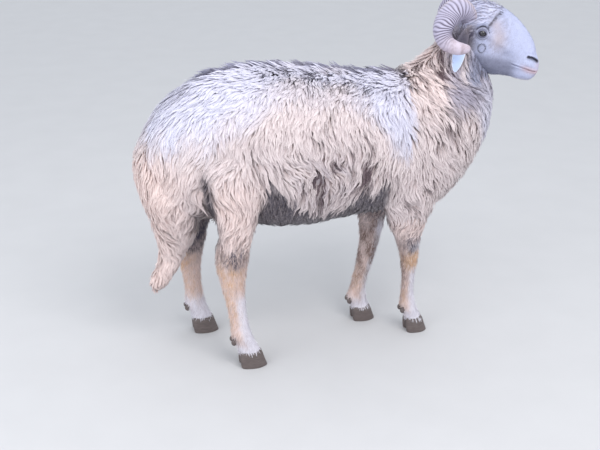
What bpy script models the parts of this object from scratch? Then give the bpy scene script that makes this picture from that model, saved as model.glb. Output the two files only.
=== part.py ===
"""Karakul ram, life size, standing still with its head raised.

Metres, +Z up, +X towards the head, +Y to its left. Each named piece is one
closed body, and neighbours meet with a thin gap between their faces.
"""
import math

import bmesh
import bpy
import numpy as np
from mathutils import Vector
from mathutils.bvhtree import BVHTree

# Sizes that drive the rest.
GAP = 0.0003
BODY_SIDES = 18
LEG_SIDES = 10
CORE_SHARE = 0.5

# Every row of a form gives, in the upright plane of its own piece:
# first edge x, z, second edge x, z, side y of the centre, half width, coat depth.
TORSO_ROWS = (
    (-0.402, 0.650, -0.405, 0.520, 0.0, 0.070, 0.020),
    (-0.385, 0.700, -0.392, 0.470, 0.0, 0.115, 0.025),
    (-0.345, 0.755, -0.355, 0.430, 0.0, 0.150, 0.030),
    (-0.285, 0.800, -0.285, 0.410, 0.0, 0.172, 0.035),
    (-0.220, 0.833, -0.215, 0.400, 0.0, 0.182, 0.040),
    (-0.130, 0.850, -0.125, 0.385, 0.0, 0.190, 0.040),
    (-0.040, 0.850, -0.040, 0.368, 0.0, 0.200, 0.040),
    (0.060, 0.838, 0.060, 0.368, 0.0, 0.205, 0.040),
    (0.160, 0.824, 0.160, 0.380, 0.0, 0.200, 0.040),
    (0.250, 0.815, 0.250, 0.385, 0.0, 0.187, 0.040),
    (0.330, 0.815, 0.335, 0.375, 0.0, 0.172, 0.040),
    (0.400, 0.800, 0.420, 0.385, 0.0, 0.150, 0.040),
    (0.460, 0.740, 0.490, 0.440, 0.0, 0.115, 0.035),
    (0.505, 0.670, 0.530, 0.520, 0.0, 0.065, 0.030),
)
NECK_ROWS = (
    (0.290, 0.790, 0.440, 0.430, 0.0, 0.120, 0.030),
    (0.325, 0.812, 0.505, 0.455, 0.0, 0.145, 0.040),
    (0.360, 0.828, 0.550, 0.512, 0.0, 0.138, 0.045),
    (0.395, 0.850, 0.588, 0.580, 0.0, 0.125, 0.045),
    (0.420, 0.873, 0.610, 0.648, 0.0, 0.110, 0.042),
    (0.440, 0.893, 0.617, 0.705, 0.0, 0.097, 0.036),
    (0.455, 0.912, 0.610, 0.755, 0.0, 0.086, 0.028),
    (0.475, 0.930, 0.600, 0.790, 0.0, 0.072, 0.020),
    (0.495, 0.940, 0.590, 0.830, 0.0, 0.052, 0.012),
)
HEAD_ROWS = (
    (0.488, 0.950, 0.515, 0.875, 0.0, 0.040, 0.006),
    (0.508, 0.982, 0.535, 0.842, 0.0, 0.054, 0.006),
    (0.540, 0.998, 0.552, 0.815, 0.0, 0.061, 0.005),
    (0.578, 1.000, 0.577, 0.797, 0.0, 0.063, 0.004),
    (0.612, 0.987, 0.603, 0.789, 0.0, 0.057, 0.003),
    (0.642, 0.966, 0.630, 0.788, 0.0, 0.049, 0.003),
    (0.669, 0.940, 0.655, 0.785, 0.0, 0.043, 0.002),
    (0.694, 0.911, 0.677, 0.779, 0.0, 0.038, 0.002),
    (0.714, 0.883, 0.697, 0.775, 0.0, 0.035, 0.002),
    (0.729, 0.857, 0.714, 0.776, 0.0, 0.031, 0.002),
    (0.737, 0.834, 0.728, 0.788, 0.0, 0.022, 0.001),
    (0.739, 0.820, 0.735, 0.802, 0.0, 0.008, 0.001),
)
# The head is turned a little to the animal's right, about the top of the neck.
HEAD_TURN = math.radians(-20)
HEAD_PIVOT = (0.500, 0.0)
TAIL_ROWS = (
    (-0.392, 0.700, -0.330, 0.665, 0.0, 0.060, 0.020),
    (-0.425, 0.650, -0.310, 0.625, 0.0, 0.100, 0.028),
    (-0.446, 0.595, -0.300, 0.580, 0.0, 0.122, 0.034),
    (-0.444, 0.545, -0.285, 0.530, 0.0, 0.132, 0.034),
    (-0.432, 0.495, -0.268, 0.480, 0.0, 0.134, 0.034),
    (-0.416, 0.450, -0.255, 0.425, 0.0, 0.122, 0.034),
    (-0.402, 0.405, -0.270, 0.370, 0.0, 0.095, 0.030),
    (-0.391, 0.365, -0.292, 0.330, 0.0, 0.068, 0.026),
    (-0.385, 0.320, -0.308, 0.298, 0.0, 0.050, 0.022),
    (-0.391, 0.280, -0.325, 0.268, 0.0, 0.043, 0.020),
    (-0.405, 0.245, -0.345, 0.240, 0.0, 0.037, 0.018),
    (-0.413, 0.222, -0.362, 0.215, 0.0, 0.028, 0.014),
    (-0.408, 0.203, -0.385, 0.200, 0.0, 0.012, 0.008),
)
TAIL_SPLIT = 7
HIND_RIGHT_ROWS = (
    (-0.060, 0.690, -0.300, 0.680, -0.085, 0.060, 0.030),
    (-0.055, 0.620, -0.318, 0.610, -0.105, 0.080, 0.030),
    (-0.075, 0.550, -0.305, 0.545, -0.118, 0.080, 0.028),
    (-0.104, 0.480, -0.275, 0.475, -0.126, 0.067, 0.024),
    (-0.126, 0.410, -0.247, 0.405, -0.130, 0.054, 0.018),
    (-0.140, 0.352, -0.240, 0.352, -0.132, 0.043, 0.010),
    (-0.149, 0.305, -0.238, 0.308, -0.134, 0.035, 0.004),
    (-0.158, 0.255, -0.228, 0.260, -0.137, 0.029, 0.003),
    (-0.158, 0.190, -0.213, 0.195, -0.141, 0.024, 0.003),
    (-0.151, 0.130, -0.204, 0.135, -0.145, 0.023, 0.003),
    (-0.140, 0.090, -0.201, 0.094, -0.148, 0.027, 0.003),
    (-0.124, 0.056, -0.186, 0.060, -0.150, 0.026, 0.003),
    (-0.114, 0.042, -0.183, 0.044, -0.151, 0.029, 0.002),
)
HIND_LEFT_ROWS = (
    (-0.080, 0.690, -0.320, 0.680, 0.085, 0.060, 0.030),
    (-0.085, 0.620, -0.340, 0.610, 0.105, 0.080, 0.030),
    (-0.110, 0.550, -0.340, 0.545, 0.116, 0.080, 0.028),
    (-0.150, 0.480, -0.333, 0.475, 0.120, 0.067, 0.024),
    (-0.190, 0.410, -0.325, 0.405, 0.120, 0.054, 0.018),
    (-0.215, 0.352, -0.324, 0.352, 0.118, 0.043, 0.010),
    (-0.228, 0.300, -0.322, 0.305, 0.116, 0.035, 0.004),
    (-0.240, 0.250, -0.315, 0.255, 0.114, 0.029, 0.003),
    (-0.247, 0.190, -0.303, 0.195, 0.112, 0.025, 0.003),
    (-0.243, 0.135, -0.297, 0.140, 0.110, 0.024, 0.003),
    (-0.234, 0.092, -0.297, 0.096, 0.108, 0.027, 0.003),
    (-0.222, 0.056, -0.283, 0.060, 0.106, 0.026, 0.003),
    (-0.212, 0.042, -0.280, 0.044, 0.105, 0.029, 0.002),
)
FORE_RIGHT_ROWS = (
    (0.435, 0.560, 0.250, 0.560, -0.085, 0.060, 0.030),
    (0.440, 0.490, 0.252, 0.490, -0.085, 0.066, 0.028),
    (0.425, 0.430, 0.262, 0.430, -0.080, 0.058, 0.024),
    (0.403, 0.370, 0.285, 0.370, -0.072, 0.048, 0.018),
    (0.391, 0.315, 0.312, 0.315, -0.066, 0.038, 0.010),
    (0.388, 0.280, 0.325, 0.280, -0.063, 0.031, 0.005),
    (0.385, 0.245, 0.334, 0.248, -0.061, 0.028, 0.003),
    (0.380, 0.205, 0.339, 0.208, -0.059, 0.023, 0.003),
    (0.378, 0.150, 0.342, 0.152, -0.056, 0.020, 0.003),
    (0.384, 0.110, 0.341, 0.112, -0.053, 0.022, 0.003),
    (0.390, 0.085, 0.341, 0.088, -0.052, 0.026, 0.003),
    (0.402, 0.054, 0.353, 0.058, -0.050, 0.024, 0.003),
    (0.412, 0.040, 0.355, 0.042, -0.050, 0.027, 0.002),
)
FORE_LEFT_ROWS = (
    (0.410, 0.560, 0.225, 0.560, 0.085, 0.060, 0.030),
    (0.395, 0.490, 0.215, 0.490, 0.085, 0.066, 0.028),
    (0.365, 0.430, 0.215, 0.430, 0.082, 0.058, 0.024),
    (0.338, 0.370, 0.232, 0.370, 0.078, 0.048, 0.018),
    (0.322, 0.315, 0.243, 0.315, 0.075, 0.038, 0.010),
    (0.310, 0.275, 0.245, 0.275, 0.073, 0.031, 0.005),
    (0.299, 0.235, 0.243, 0.238, 0.071, 0.028, 0.003),
    (0.284, 0.190, 0.236, 0.193, 0.069, 0.024, 0.003),
    (0.270, 0.145, 0.226, 0.147, 0.068, 0.021, 0.003),
    (0.264, 0.105, 0.216, 0.107, 0.067, 0.023, 0.003),
    (0.266, 0.078, 0.207, 0.080, 0.066, 0.026, 0.003),
    (0.272, 0.054, 0.215, 0.056, 0.065, 0.024, 0.003),
    (0.280, 0.040, 0.218, 0.042, 0.065, 0.027, 0.002),
)
LEG_SPLIT = 5
HOOF_LENGTHEN = 0.012
HOOF_SPREAD = 0.004
CLEFT_WIDTH = 0.006

# Horn: centre line of the right one with its half thickness, root to tip.
HORN_LINE = (
    (0.570, -0.026, 0.952, 0.034),
    (0.552, -0.046, 0.976, 0.034),
    (0.524, -0.066, 0.987, 0.033),
    (0.490, -0.087, 0.983, 0.031),
    (0.465, -0.106, 0.961, 0.029),
    (0.457, -0.121, 0.933, 0.026),
    (0.467, -0.132, 0.908, 0.023),
    (0.490, -0.139, 0.895, 0.020),
    (0.514, -0.143, 0.892, 0.016),
    (0.535, -0.145, 0.895, 0.008),
)
HORN_RIDGE = 0.06
HORN_SQUASH = 0.80

# Ear: centre line of the right one with its half width, root to tip.
EAR_LINE = (
    (0.530, -0.048, 0.925, 0.010),
    (0.521, -0.068, 0.915, 0.013),
    (0.511, -0.088, 0.892, 0.018),
    (0.503, -0.097, 0.866, 0.021),
    (0.498, -0.100, 0.842, 0.015),
    (0.494, -0.101, 0.818, 0.004),
)
EAR_THICKNESS = 0.0040
EAR_CUP = 0.0060
TAG_THICKNESS = 0.0016
TAG_START = 4
TAG_WIDTHS = (0.66, 0.72, 0.74, 0.74, 0.70, 0.40)

# Locks of the fleece: spacing, length, width and thickness for each woolly piece,
# and the way the wool lies there (backward, sideways, down).
LOCKS = {
    "neck": (0.062, 0.100, 0.050, 0.011, (0.10, 0.25, -1.0)),
    "torso": (0.071, 0.130, 0.064, 0.012, (-0.40, 0.30, -1.0)),
    "tail": (0.057, 0.095, 0.046, 0.010, (-0.10, 0.10, -1.0)),
    "tail_end": (0.048, 0.060, 0.030, 0.008, (-0.15, 0.10, -1.0)),
    "thigh_right": (0.052, 0.085, 0.044, 0.010, (-0.20, 0.10, -1.0)),
    "thigh_left": (0.052, 0.085, 0.044, 0.010, (-0.20, 0.10, -1.0)),
    "forearm_right": (0.054, 0.070, 0.036, 0.008, (-0.10, 0.05, -1.0)),
    "forearm_left": (0.054, 0.070, 0.036, 0.008, (-0.10, 0.05, -1.0)),
}
ROOT_DEPTH = 0.014
UNDERSIDE_SHORTER = 0.55
LOCK_RINGS = ((0.0, None, 0.55, 0.6), (0.28, 0.20, 1.0, 1.0), (0.55, 0.55, 0.95, 1.0), (0.80, 0.80, 0.62, 0.8))
LOCK_TIP_LIFT = 1.0

EYE_CENTRE = (0.570, -0.0520, 0.919)
EYE_RADIUS = 0.0135
LID_RADIUS = 0.0150
LID_TUBE = 0.0038


def new_object(name, verts, faces):
    mesh = bpy.data.meshes.new(name)
    mesh.from_pydata([tuple(v) for v in verts], [], faces)
    mesh.validate()
    bm = bmesh.new()
    bm.from_mesh(mesh)
    bmesh.ops.recalc_face_normals(bm, faces=bm.faces)
    bmesh.ops.triangulate(bm, faces=bm.faces, quad_method="FIXED")
    bm.to_mesh(mesh)
    bm.free()
    item = bpy.data.objects.new(name, mesh)
    bpy.context.scene.collection.objects.link(item)
    return item


def smooth_rows(rows, steps):
    """Rows between the given ones, along a smooth curve through them."""
    rows = np.array(rows, dtype=float)
    out = []
    count = len(rows)
    for i in range(count - 1):
        before = rows[max(i - 1, 0)]
        here = rows[i]
        after = rows[i + 1]
        beyond = rows[min(i + 2, count - 1)]
        for k in range(steps):
            t = k / steps
            blend = (2 * here + (after - before) * t
                     + (2 * before - 5 * here + 4 * after - beyond) * t * t
                     + (3 * here - before - 3 * after + beyond) * t * t * t)
            out.append(0.5 * blend)
    out.append(rows[-1])
    return np.array(out)


def signed_power(value, power):
    return math.copysign(abs(value) ** power, value)


def loft(name, rows, sides, grow=0.0, widest=0.5, fullness=2.2, steps=2, coat=0.0):
    """Closed form through the rows, its ends shut by flat faces."""
    rows = smooth_rows(rows, steps)
    verts = []
    centres = []
    for row in rows:
        first = np.array([row[0], row[4], row[1]])
        second = np.array([row[2], row[4], row[3]])
        axis = first - second
        height = np.linalg.norm(axis)
        axis = axis / height
        add = grow - coat * row[6]
        centre = second + axis * height * widest
        centres.append(centre)
        upper = height * (1 - widest) + add
        lower = height * widest + add
        half = row[5] + add
        for k in range(sides):
            angle = 2 * math.pi * k / sides
            along = signed_power(math.cos(angle), 2 / fullness)
            across = signed_power(math.sin(angle), 2 / fullness)
            reach = upper if along > 0 else lower
            verts.append(centre + axis * reach * along + np.array([0, half * across, 0]))
    verts = np.array(verts)
    if grow:
        start = centres[0] - centres[1]
        finish = centres[-1] - centres[-2]
        verts[:sides] += grow * start / np.linalg.norm(start)
        verts[-sides:] += grow * finish / np.linalg.norm(finish)
    faces = []
    for r in range(len(rows) - 1):
        for k in range(sides):
            n = (k + 1) % sides
            faces.append((r * sides + k, r * sides + n, (r + 1) * sides + n, (r + 1) * sides + k))
    faces.append(tuple(range(sides - 1, -1, -1)))
    faces.append(tuple(range((len(rows) - 1) * sides, len(rows) * sides)))
    return new_object(name, verts, faces)


def apply_boolean(item, operation, tool=None, group=None, solver="EXACT"):
    cut = item.modifiers.new("cut", "BOOLEAN")
    cut.operation = operation
    cut.solver = solver
    if group is None:
        cut.operand_type = "OBJECT"
        cut.object = tool
    else:
        cut.operand_type = "COLLECTION"
        cut.collection = group
    bpy.context.view_layer.update()
    graph = bpy.context.evaluated_depsgraph_get()
    result = bpy.data.meshes.new_from_object(item.evaluated_get(graph))
    bm = bmesh.new()
    bm.from_mesh(result)
    bmesh.ops.triangulate(bm, faces=bm.faces)
    bm.to_mesh(result)
    bm.free()
    item.modifiers.clear()
    old = item.data
    item.data = result
    bpy.data.meshes.remove(old)


def subtract(item, tool):
    tool.hide_render = True
    apply_boolean(item, "DIFFERENCE", tool)
    bpy.data.objects.remove(tool)


def join(item, tool):
    tool.hide_render = True
    apply_boolean(item, "UNION", tool)
    bpy.data.objects.remove(tool)


def keep_largest(item):
    """Only the closed surface with the most volume stays."""
    bm = bmesh.new()
    bm.from_mesh(item.data)
    bm.faces.ensure_lookup_table()
    left = set(bm.faces)
    best = set()
    best_volume = -1.0
    while left:
        stack = [left.pop()]
        shell = set(stack)
        while stack:
            face = stack.pop()
            for edge in face.edges:
                for other in edge.link_faces:
                    if other in left:
                        left.remove(other)
                        shell.add(other)
                        stack.append(other)
        low = Vector((9, 9, 9))
        high = Vector((-9, -9, -9))
        for face in shell:
            for vert in face.verts:
                for i in range(3):
                    low[i] = min(low[i], vert.co[i])
                    high[i] = max(high[i], vert.co[i])
        size = high - low
        volume = size.x * size.y * size.z
        if volume > best_volume:
            best_volume = volume
            best = shell
    bmesh.ops.delete(bm, geom=[f for f in bm.faces if f not in best], context="FACES")
    loose = [v for v in bm.verts if not v.link_faces]
    bmesh.ops.delete(bm, geom=loose, context="VERTS")
    bmesh.ops.recalc_face_normals(bm, faces=bm.faces)
    bm.to_mesh(item.data)
    bm.free()


def paint(item, colour, roughness):
    material = bpy.data.materials.new(item.name + "_surface")
    material.use_nodes = True
    shader = material.node_tree.nodes["Principled BSDF"]
    shader.inputs["Base Color"].default_value = (*colour, 1.0)
    shader.inputs["Roughness"].default_value = roughness
    item.data.materials.clear()
    item.data.materials.append(material)


def ellipsoid(name, centre, radii, turn=None, rings=8, sides=12):
    verts = []
    for r in range(1, rings):
        polar = math.pi * r / rings
        for k in range(sides):
            angle = 2 * math.pi * k / sides
            spot = Vector((radii[0] * math.sin(polar) * math.cos(angle),
                           radii[1] * math.sin(polar) * math.sin(angle),
                           radii[2] * math.cos(polar)))
            verts.append(spot)
    verts.append(Vector((0, 0, radii[2])))
    verts.append(Vector((0, 0, -radii[2])))
    if turn is not None:
        verts = [turn @ v for v in verts]
    verts = [v + Vector(centre) for v in verts]
    faces = []
    for r in range(rings - 2):
        for k in range(sides):
            n = (k + 1) % sides
            faces.append((r * sides + k, r * sides + n, (r + 1) * sides + n, (r + 1) * sides + k))
    top = len(verts) - 2
    bottom = len(verts) - 1
    last = (rings - 2) * sides
    for k in range(sides):
        n = (k + 1) % sides
        faces.append((top, n, k))
        faces.append((bottom, last + k, last + n))
    return new_object(name, verts, faces)


def sweep(name, line, section, closed=False, up=Vector((0, 1, 0))):
    """Carries a section along a line; section(i, n) gives (across, up) offsets."""
    count = len(line)
    line = [Vector(p) for p in line]
    verts = []
    sides = 0
    for i, spot in enumerate(line):
        if closed:
            ahead = line[(i + 1) % count] - line[i - 1]
        else:
            ahead = line[min(i + 1, count - 1)] - line[max(i - 1, 0)]
        ahead.normalize()
        side = ahead.cross(up).normalized()
        rise = side.cross(ahead).normalized()
        ring = section(i, count)
        sides = len(ring)
        for across, height in ring:
            verts.append(spot + side * across + rise * height)
    faces = []
    for r in range(count if closed else count - 1):
        ahead_row = (r + 1) % count
        for k in range(sides):
            n = (k + 1) % sides
            faces.append((r * sides + k, r * sides + n, ahead_row * sides + n, ahead_row * sides + k))
    if not closed:
        faces.append(tuple(range(sides - 1, -1, -1)))
        faces.append(tuple(range((count - 1) * sides, count * sides)))
    return new_object(name, verts, faces)


def mirrored(line, side):
    """The right side's line, or its mirror image for the left side."""
    return [tuple([p[0], p[1] * side] + list(p[2:])) for p in line]


for old in list(bpy.data.objects):
    bpy.data.objects.remove(old, do_unlink=True)

nodes = {}


def torso_form(name, grow=0.0):
    return loft(name, TORSO_ROWS, BODY_SIDES + 2, grow, widest=0.52, steps=1, coat=CORE_SHARE)


def head_form(name, grow=0.0):
    return loft(name, HEAD_ROWS, BODY_SIDES - 2, grow, widest=0.56, fullness=2.1)


def turn_head(item):
    """Turns a piece of the head about the top of the neck."""
    for vert in item.data.vertices:
        x = vert.co.x - HEAD_PIVOT[0]
        y = vert.co.y - HEAD_PIVOT[1]
        vert.co.x = HEAD_PIVOT[0] + x * math.cos(HEAD_TURN) - y * math.sin(HEAD_TURN)
        vert.co.y = HEAD_PIVOT[1] + x * math.sin(HEAD_TURN) + y * math.cos(HEAD_TURN)
    return item


def upper_leg_form(name, rows, grow=0.0):
    return loft(name, rows[:LEG_SPLIT + 1], LEG_SIDES + 2, grow, fullness=2.1, steps=1,
                coat=CORE_SHARE)


# Trunk, neck and head.
nodes["torso"] = torso_form("torso")
neck = loft("neck", NECK_ROWS, BODY_SIDES, steps=1, coat=CORE_SHARE)
subtract(neck, torso_form("cutter", GAP))
subtract(neck, turn_head(head_form("cutter", GAP)))
nodes["neck"] = neck
head = head_form("head")
nodes["head"] = head

# Legs: a woolly upper part, a short-haired lower part and a cloven hoof each.
legs = (
    ("hind_right", HIND_RIGHT_ROWS, "thigh_right", "shank_right", "hoof_hind_right"),
    ("hind_left", HIND_LEFT_ROWS, "thigh_left", "shank_left", "hoof_hind_left"),
    ("fore_right", FORE_RIGHT_ROWS, "forearm_right", "cannon_right", "hoof_fore_right"),
    ("fore_left", FORE_LEFT_ROWS, "forearm_left", "cannon_left", "hoof_fore_left"),
)
for title, rows, upper_name, lower_name, hoof_name in legs:
    upper = upper_leg_form(upper_name, rows)
    subtract(upper, torso_form("cutter", GAP))
    nodes[upper_name] = upper
    first = list(rows[LEG_SPLIT])
    first[1] -= GAP
    first[3] -= GAP
    lower = loft(lower_name, [first] + list(rows[LEG_SPLIT + 1:]), LEG_SIDES, fullness=2.1,
                 steps=1, coat=CORE_SHARE)
    nodes[lower_name] = lower
    # Dewclaws behind the fetlock.
    fetlock = rows[-3]
    for offset in (-0.5, 0.5):
        spot = (fetlock[2] + 0.007, fetlock[4] + offset * fetlock[5], fetlock[3] - 0.014)
        join(lower, ellipsoid("claw", spot, (0.010, 0.008, 0.012), rings=5, sides=7))
    last = rows[-1]
    hoof_rows = (
        (last[0] + 0.001, last[1] - GAP, last[2] + 0.001, last[3] - GAP, last[4], last[5], 0),
        (last[0] + 0.5 * HOOF_LENGTHEN, 0.020, last[2] + 0.002, 0.020, last[4], last[5] + 0.002, 0),
        (last[0] + HOOF_LENGTHEN, 0.004, last[2] + 0.004, 0.004, last[4], last[5] + HOOF_SPREAD, 0),
        (last[0] + HOOF_LENGTHEN, 0.000, last[2] + 0.005, 0.000, last[4], last[5] + HOOF_SPREAD, 0),
    )
    hoof = loft(hoof_name, hoof_rows, 12, fullness=2.6, steps=1)
    toe_x = last[0] + HOOF_LENGTHEN + 0.01
    heel_x = 0.35 * last[0] + 0.65 * last[2]
    cleft = [(toe_x, last[4], 0.028), (heel_x, last[4], -0.010)]
    wedge = sweep("wedge", cleft, lambda i, n: ((-0.012, -CLEFT_WIDTH / 2), (0.05, -CLEFT_WIDTH / 2),
                                               (0.05, CLEFT_WIDTH / 2), (-0.012, CLEFT_WIDTH / 2)))
    subtract(hoof, wedge)
    nodes[hoof_name] = hoof

# Broad fat tail with a narrower end piece.
tail = loft("tail", TAIL_ROWS[:TAIL_SPLIT + 1], BODY_SIDES - 2, fullness=2.3, steps=1,
            coat=CORE_SHARE)
subtract(tail, torso_form("cutter", GAP))
for rows in (HIND_RIGHT_ROWS, HIND_LEFT_ROWS):
    subtract(tail, upper_leg_form("cutter", rows, GAP))
nodes["tail"] = tail
first = list(TAIL_ROWS[TAIL_SPLIT])
first[1] -= GAP
first[3] -= GAP
tail_end = loft("tail_end", [first] + list(TAIL_ROWS[TAIL_SPLIT + 1:]), 10, fullness=2.2,
                steps=1, coat=CORE_SHARE)
nodes["tail_end"] = tail_end

# Eyes with a raised rim of lids, sunk in the head.
for side, word in ((1, "right"), (-1, "left")):
    centre = Vector((EYE_CENTRE[0], EYE_CENTRE[1] * side, EYE_CENTRE[2]))
    ring = []
    for k in range(12):
        angle = 2 * math.pi * k / 12
        ring.append(centre + Vector((LID_RADIUS * 1.15 * math.cos(angle), -0.0090 * side,
                                     LID_RADIUS * 0.92 * math.sin(angle))))
    lid = sweep("lid", ring, lambda i, n: [(LID_TUBE * math.cos(a * math.pi / 3),
                                            LID_TUBE * math.sin(a * math.pi / 3)) for a in range(6)],
                closed=True)
    join(head, lid)
for side, word in ((1, "right"), (-1, "left")):
    centre = Vector((EYE_CENTRE[0], EYE_CENTRE[1] * side, EYE_CENTRE[2]))
    grown = EYE_RADIUS + GAP
    subtract(head, ellipsoid("cutter", centre, (grown, grown, grown), rings=8, sides=12))
    nodes["eye_" + word] = ellipsoid("eye_" + word, centre, (EYE_RADIUS,) * 3, rings=8, sides=12)

# Nostrils and the line of the mouth.
plain_head = head_form("plain")
tree = BVHTree.FromObject(plain_head, bpy.context.evaluated_depsgraph_get())
mouth_line = []
MOUTH_HINGE = Vector((0.680, 0.0, 0.8205))
MOUTH_AHEAD = Vector((0.937, 0.0, -0.350)).normalized()
for k in range(15):
    angle = math.radians(-125 + 250 * k / 14)
    heading = MOUTH_AHEAD * math.cos(angle) + Vector((0, 1, 0)) * math.sin(angle)
    hit = tree.ray_cast(MOUTH_HINGE, heading)
    mouth_line.append(hit[0])
groove = sweep("groove", mouth_line,
               lambda i, n: ((-0.0040, 0.0), (0.0050, -0.0022), (0.0050, 0.0022)),
               up=Vector((0.350, 0, 0.937)))
subtract(head, groove)
for side in (1, -1):
    start = Vector((0.708, -0.060 * side, 0.848))
    hit = tree.ray_cast(start, Vector((-0.15, 1.0 * side, 0)).normalized())
    turn = Vector((0.84, 0.25 * side, -0.48)).to_track_quat("X", "Z").to_matrix()
    subtract(head, ellipsoid("cutter", hit[0], (0.0120, 0.0045, 0.0040), turn, rings=6, sides=8))
bpy.data.objects.remove(plain_head)

# Horns, ridged and curling back, down and forward.
for side, word in ((1, "right"), (-1, "left")):
    rows = smooth_rows(mirrored(HORN_LINE, side), 3)

    def horn_section(i, n, rows=rows, side=side):
        size = rows[i][3] * (1 + (HORN_RIDGE if i % 2 else -HORN_RIDGE) * (1 - i / n))
        ring = []
        for k in range(8):
            angle = 2 * math.pi * k / 8
            ring.append((size * math.cos(angle), size * HORN_SQUASH * math.sin(angle)))
        return ring

    horn = sweep("horn_" + word, [tuple(r[:3]) for r in rows], horn_section,
                 up=Vector((0.35, side * 0.9, 0.1)))
    subtract(horn, head_form("cutter", GAP))
    nodes["horn_" + word] = horn

# Hanging ears, cupped, and the pale tag on the right one.
for side, word in ((1, "right"), (-1, "left")):
    rows = smooth_rows(mirrored(EAR_LINE, side), 2)

    def ear_section(i, n, rows=rows, grow=0.0):
        half = rows[i][3] + grow
        ring = []
        for u in (-1.0, -0.5, 0.0, 0.5, 1.0):
            ring.append((u * half, EAR_CUP * (u * u - 0.5) * half / 0.02 + EAR_THICKNESS / 2 + grow))
        for u in (1.0, 0.5, 0.0, -0.5, -1.0):
            ring.append((u * half, EAR_CUP * (u * u - 0.5) * half / 0.02 - EAR_THICKNESS / 2 - grow))
        return ring

    ear = sweep("ear_" + word, [tuple(r[:3]) for r in rows], ear_section,
                up=Vector((0.35, -1.0 * side, 0.2)))
    subtract(ear, head_form("cutter", GAP))
    nodes["ear_" + word] = ear

tag_rows = smooth_rows(EAR_LINE, 2)[TAG_START:TAG_START + len(TAG_WIDTHS)]


def tag_section(i, n):
    half = tag_rows[i][3] * TAG_WIDTHS[i]
    edge = EAR_CUP * (TAG_WIDTHS[i] ** 2 - 0.5) * tag_rows[i][3] / 0.02
    low = edge + EAR_THICKNESS / 2 + 2 * GAP
    return [(-half, low), (half, low), (half, low + TAG_THICKNESS), (-half, low + TAG_THICKNESS)]


nodes["ear_tag"] = sweep("ear_tag", [tuple(r[:3]) for r in tag_rows], tag_section,
                         up=Vector((0.35, -1.0, 0.2)))

for name, item in nodes.items():
    keep_largest(item)
    if name.startswith(("head", "eye", "horn", "ear")):
        turn_head(item)


LOCK_SOLVER = "EXACT"
COAT_ROWS = {
    "neck": NECK_ROWS, "torso": TORSO_ROWS, "tail": TAIL_ROWS, "tail_end": TAIL_ROWS,
    "thigh_right": HIND_RIGHT_ROWS, "thigh_left": HIND_LEFT_ROWS,
    "forearm_right": FORE_RIGHT_ROWS, "forearm_left": FORE_LEFT_ROWS,
}


def lock_lift(name, spot):
    """How far a lock's tip stands off the core: the rest of the coat's depth there."""
    nearest = min(COAT_ROWS[name], key=lambda row: math.hypot(
        (row[0] + row[2]) / 2 - spot.x, (row[1] + row[3]) / 2 - spot.z))
    return max(0.006, nearest[6] * (1 - CORE_SHARE))


# The fleece: flat tapered locks, each rooted in its piece and lying over the next.
def closed_tree(items):
    verts = []
    faces = []
    for item in items:
        start = len(verts)
        verts += [v.co.copy() for v in item.data.vertices]
        faces += [[start + i for i in p.vertices] for p in item.data.polygons]
    return BVHTree.FromPolygons(verts, faces)


def is_inside(tree, spot):
    """Whether a point is inside a closed form, by counting crossings above it."""
    heading = Vector((0.13, 0.07, 1.0)).normalized()
    crossings = 0
    start = spot.copy()
    while crossings < 40:
        hit = tree.ray_cast(start, heading)
        if hit[0] is None:
            break
        crossings += 1
        start = hit[0] + heading * 0.00001
    return crossings % 2 == 1


def lie_of(wool, spot, normal):
    sideways = math.copysign(wool[1], spot.y) * min(1.0, abs(spot.y) / 0.05)
    heading = Vector((wool[0], sideways, wool[2]))
    heading -= normal * heading.dot(normal)
    if heading.length < 0.05:
        heading = Vector((-1.0, 0, 0)) - normal * Vector((-1.0, 0, 0)).dot(normal)
    return heading.normalized()


def lock_shape(drape, start, normal, wool, length, width, thick, lift, turn, grow=0.0):
    """Points and faces of one lock that follows the body from its root."""
    spot = start.copy()
    heading = lie_of(wool, spot, normal)
    heading = heading * math.cos(turn) + normal.cross(heading) * math.sin(turn)
    verts = []
    before = 0.0
    for share, rise, broad, deep in LOCK_RINGS + ((1.0, LOCK_TIP_LIFT, 0.0, 0.0),):
        ahead = spot + heading * length * (share - before)
        found = drape.find_nearest(ahead)
        if found[0] is not None and normal.z > -0.35 and found[1].dot(normal) > 0.2:
            spot = found[0]
            normal = (normal * 0.4 + found[1] * 0.6).normalized()
        else:
            spot = ahead
        heading = heading * math.cos(0.5 * turn) + normal.cross(heading) * math.sin(0.5 * turn)
        heading = (heading - normal * heading.dot(normal)).normalized()
        before = share
        height = -ROOT_DEPTH if rise is None else rise * lift
        side = heading.cross(normal).normalized()
        centre = spot + normal * height
        if broad == 0.0:
            verts.append(centre + heading * grow)
            break
        half = width * broad / 2 + grow
        deep_half = thick * deep / 2 + grow
        verts.append(centre - side * half - normal * deep_half)
        verts.append(centre + normal * deep_half)
        verts.append(centre + side * half - normal * deep_half)
    rings = len(LOCK_RINGS)
    faces = [(2, 1, 0)]
    for r in range(rings - 1):
        for k in range(3):
            n = (k + 1) % 3
            a, b, c, d = r * 3 + k, r * 3 + n, r * 3 + 3 + n, r * 3 + 3 + k
            faces.append((a, b, c))
            faces.append((a, c, d))
    last = (rings - 1) * 3
    for k in range(3):
        faces.append((last + k, last + (k + 1) % 3, rings * 3))
    return verts, faces


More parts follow.
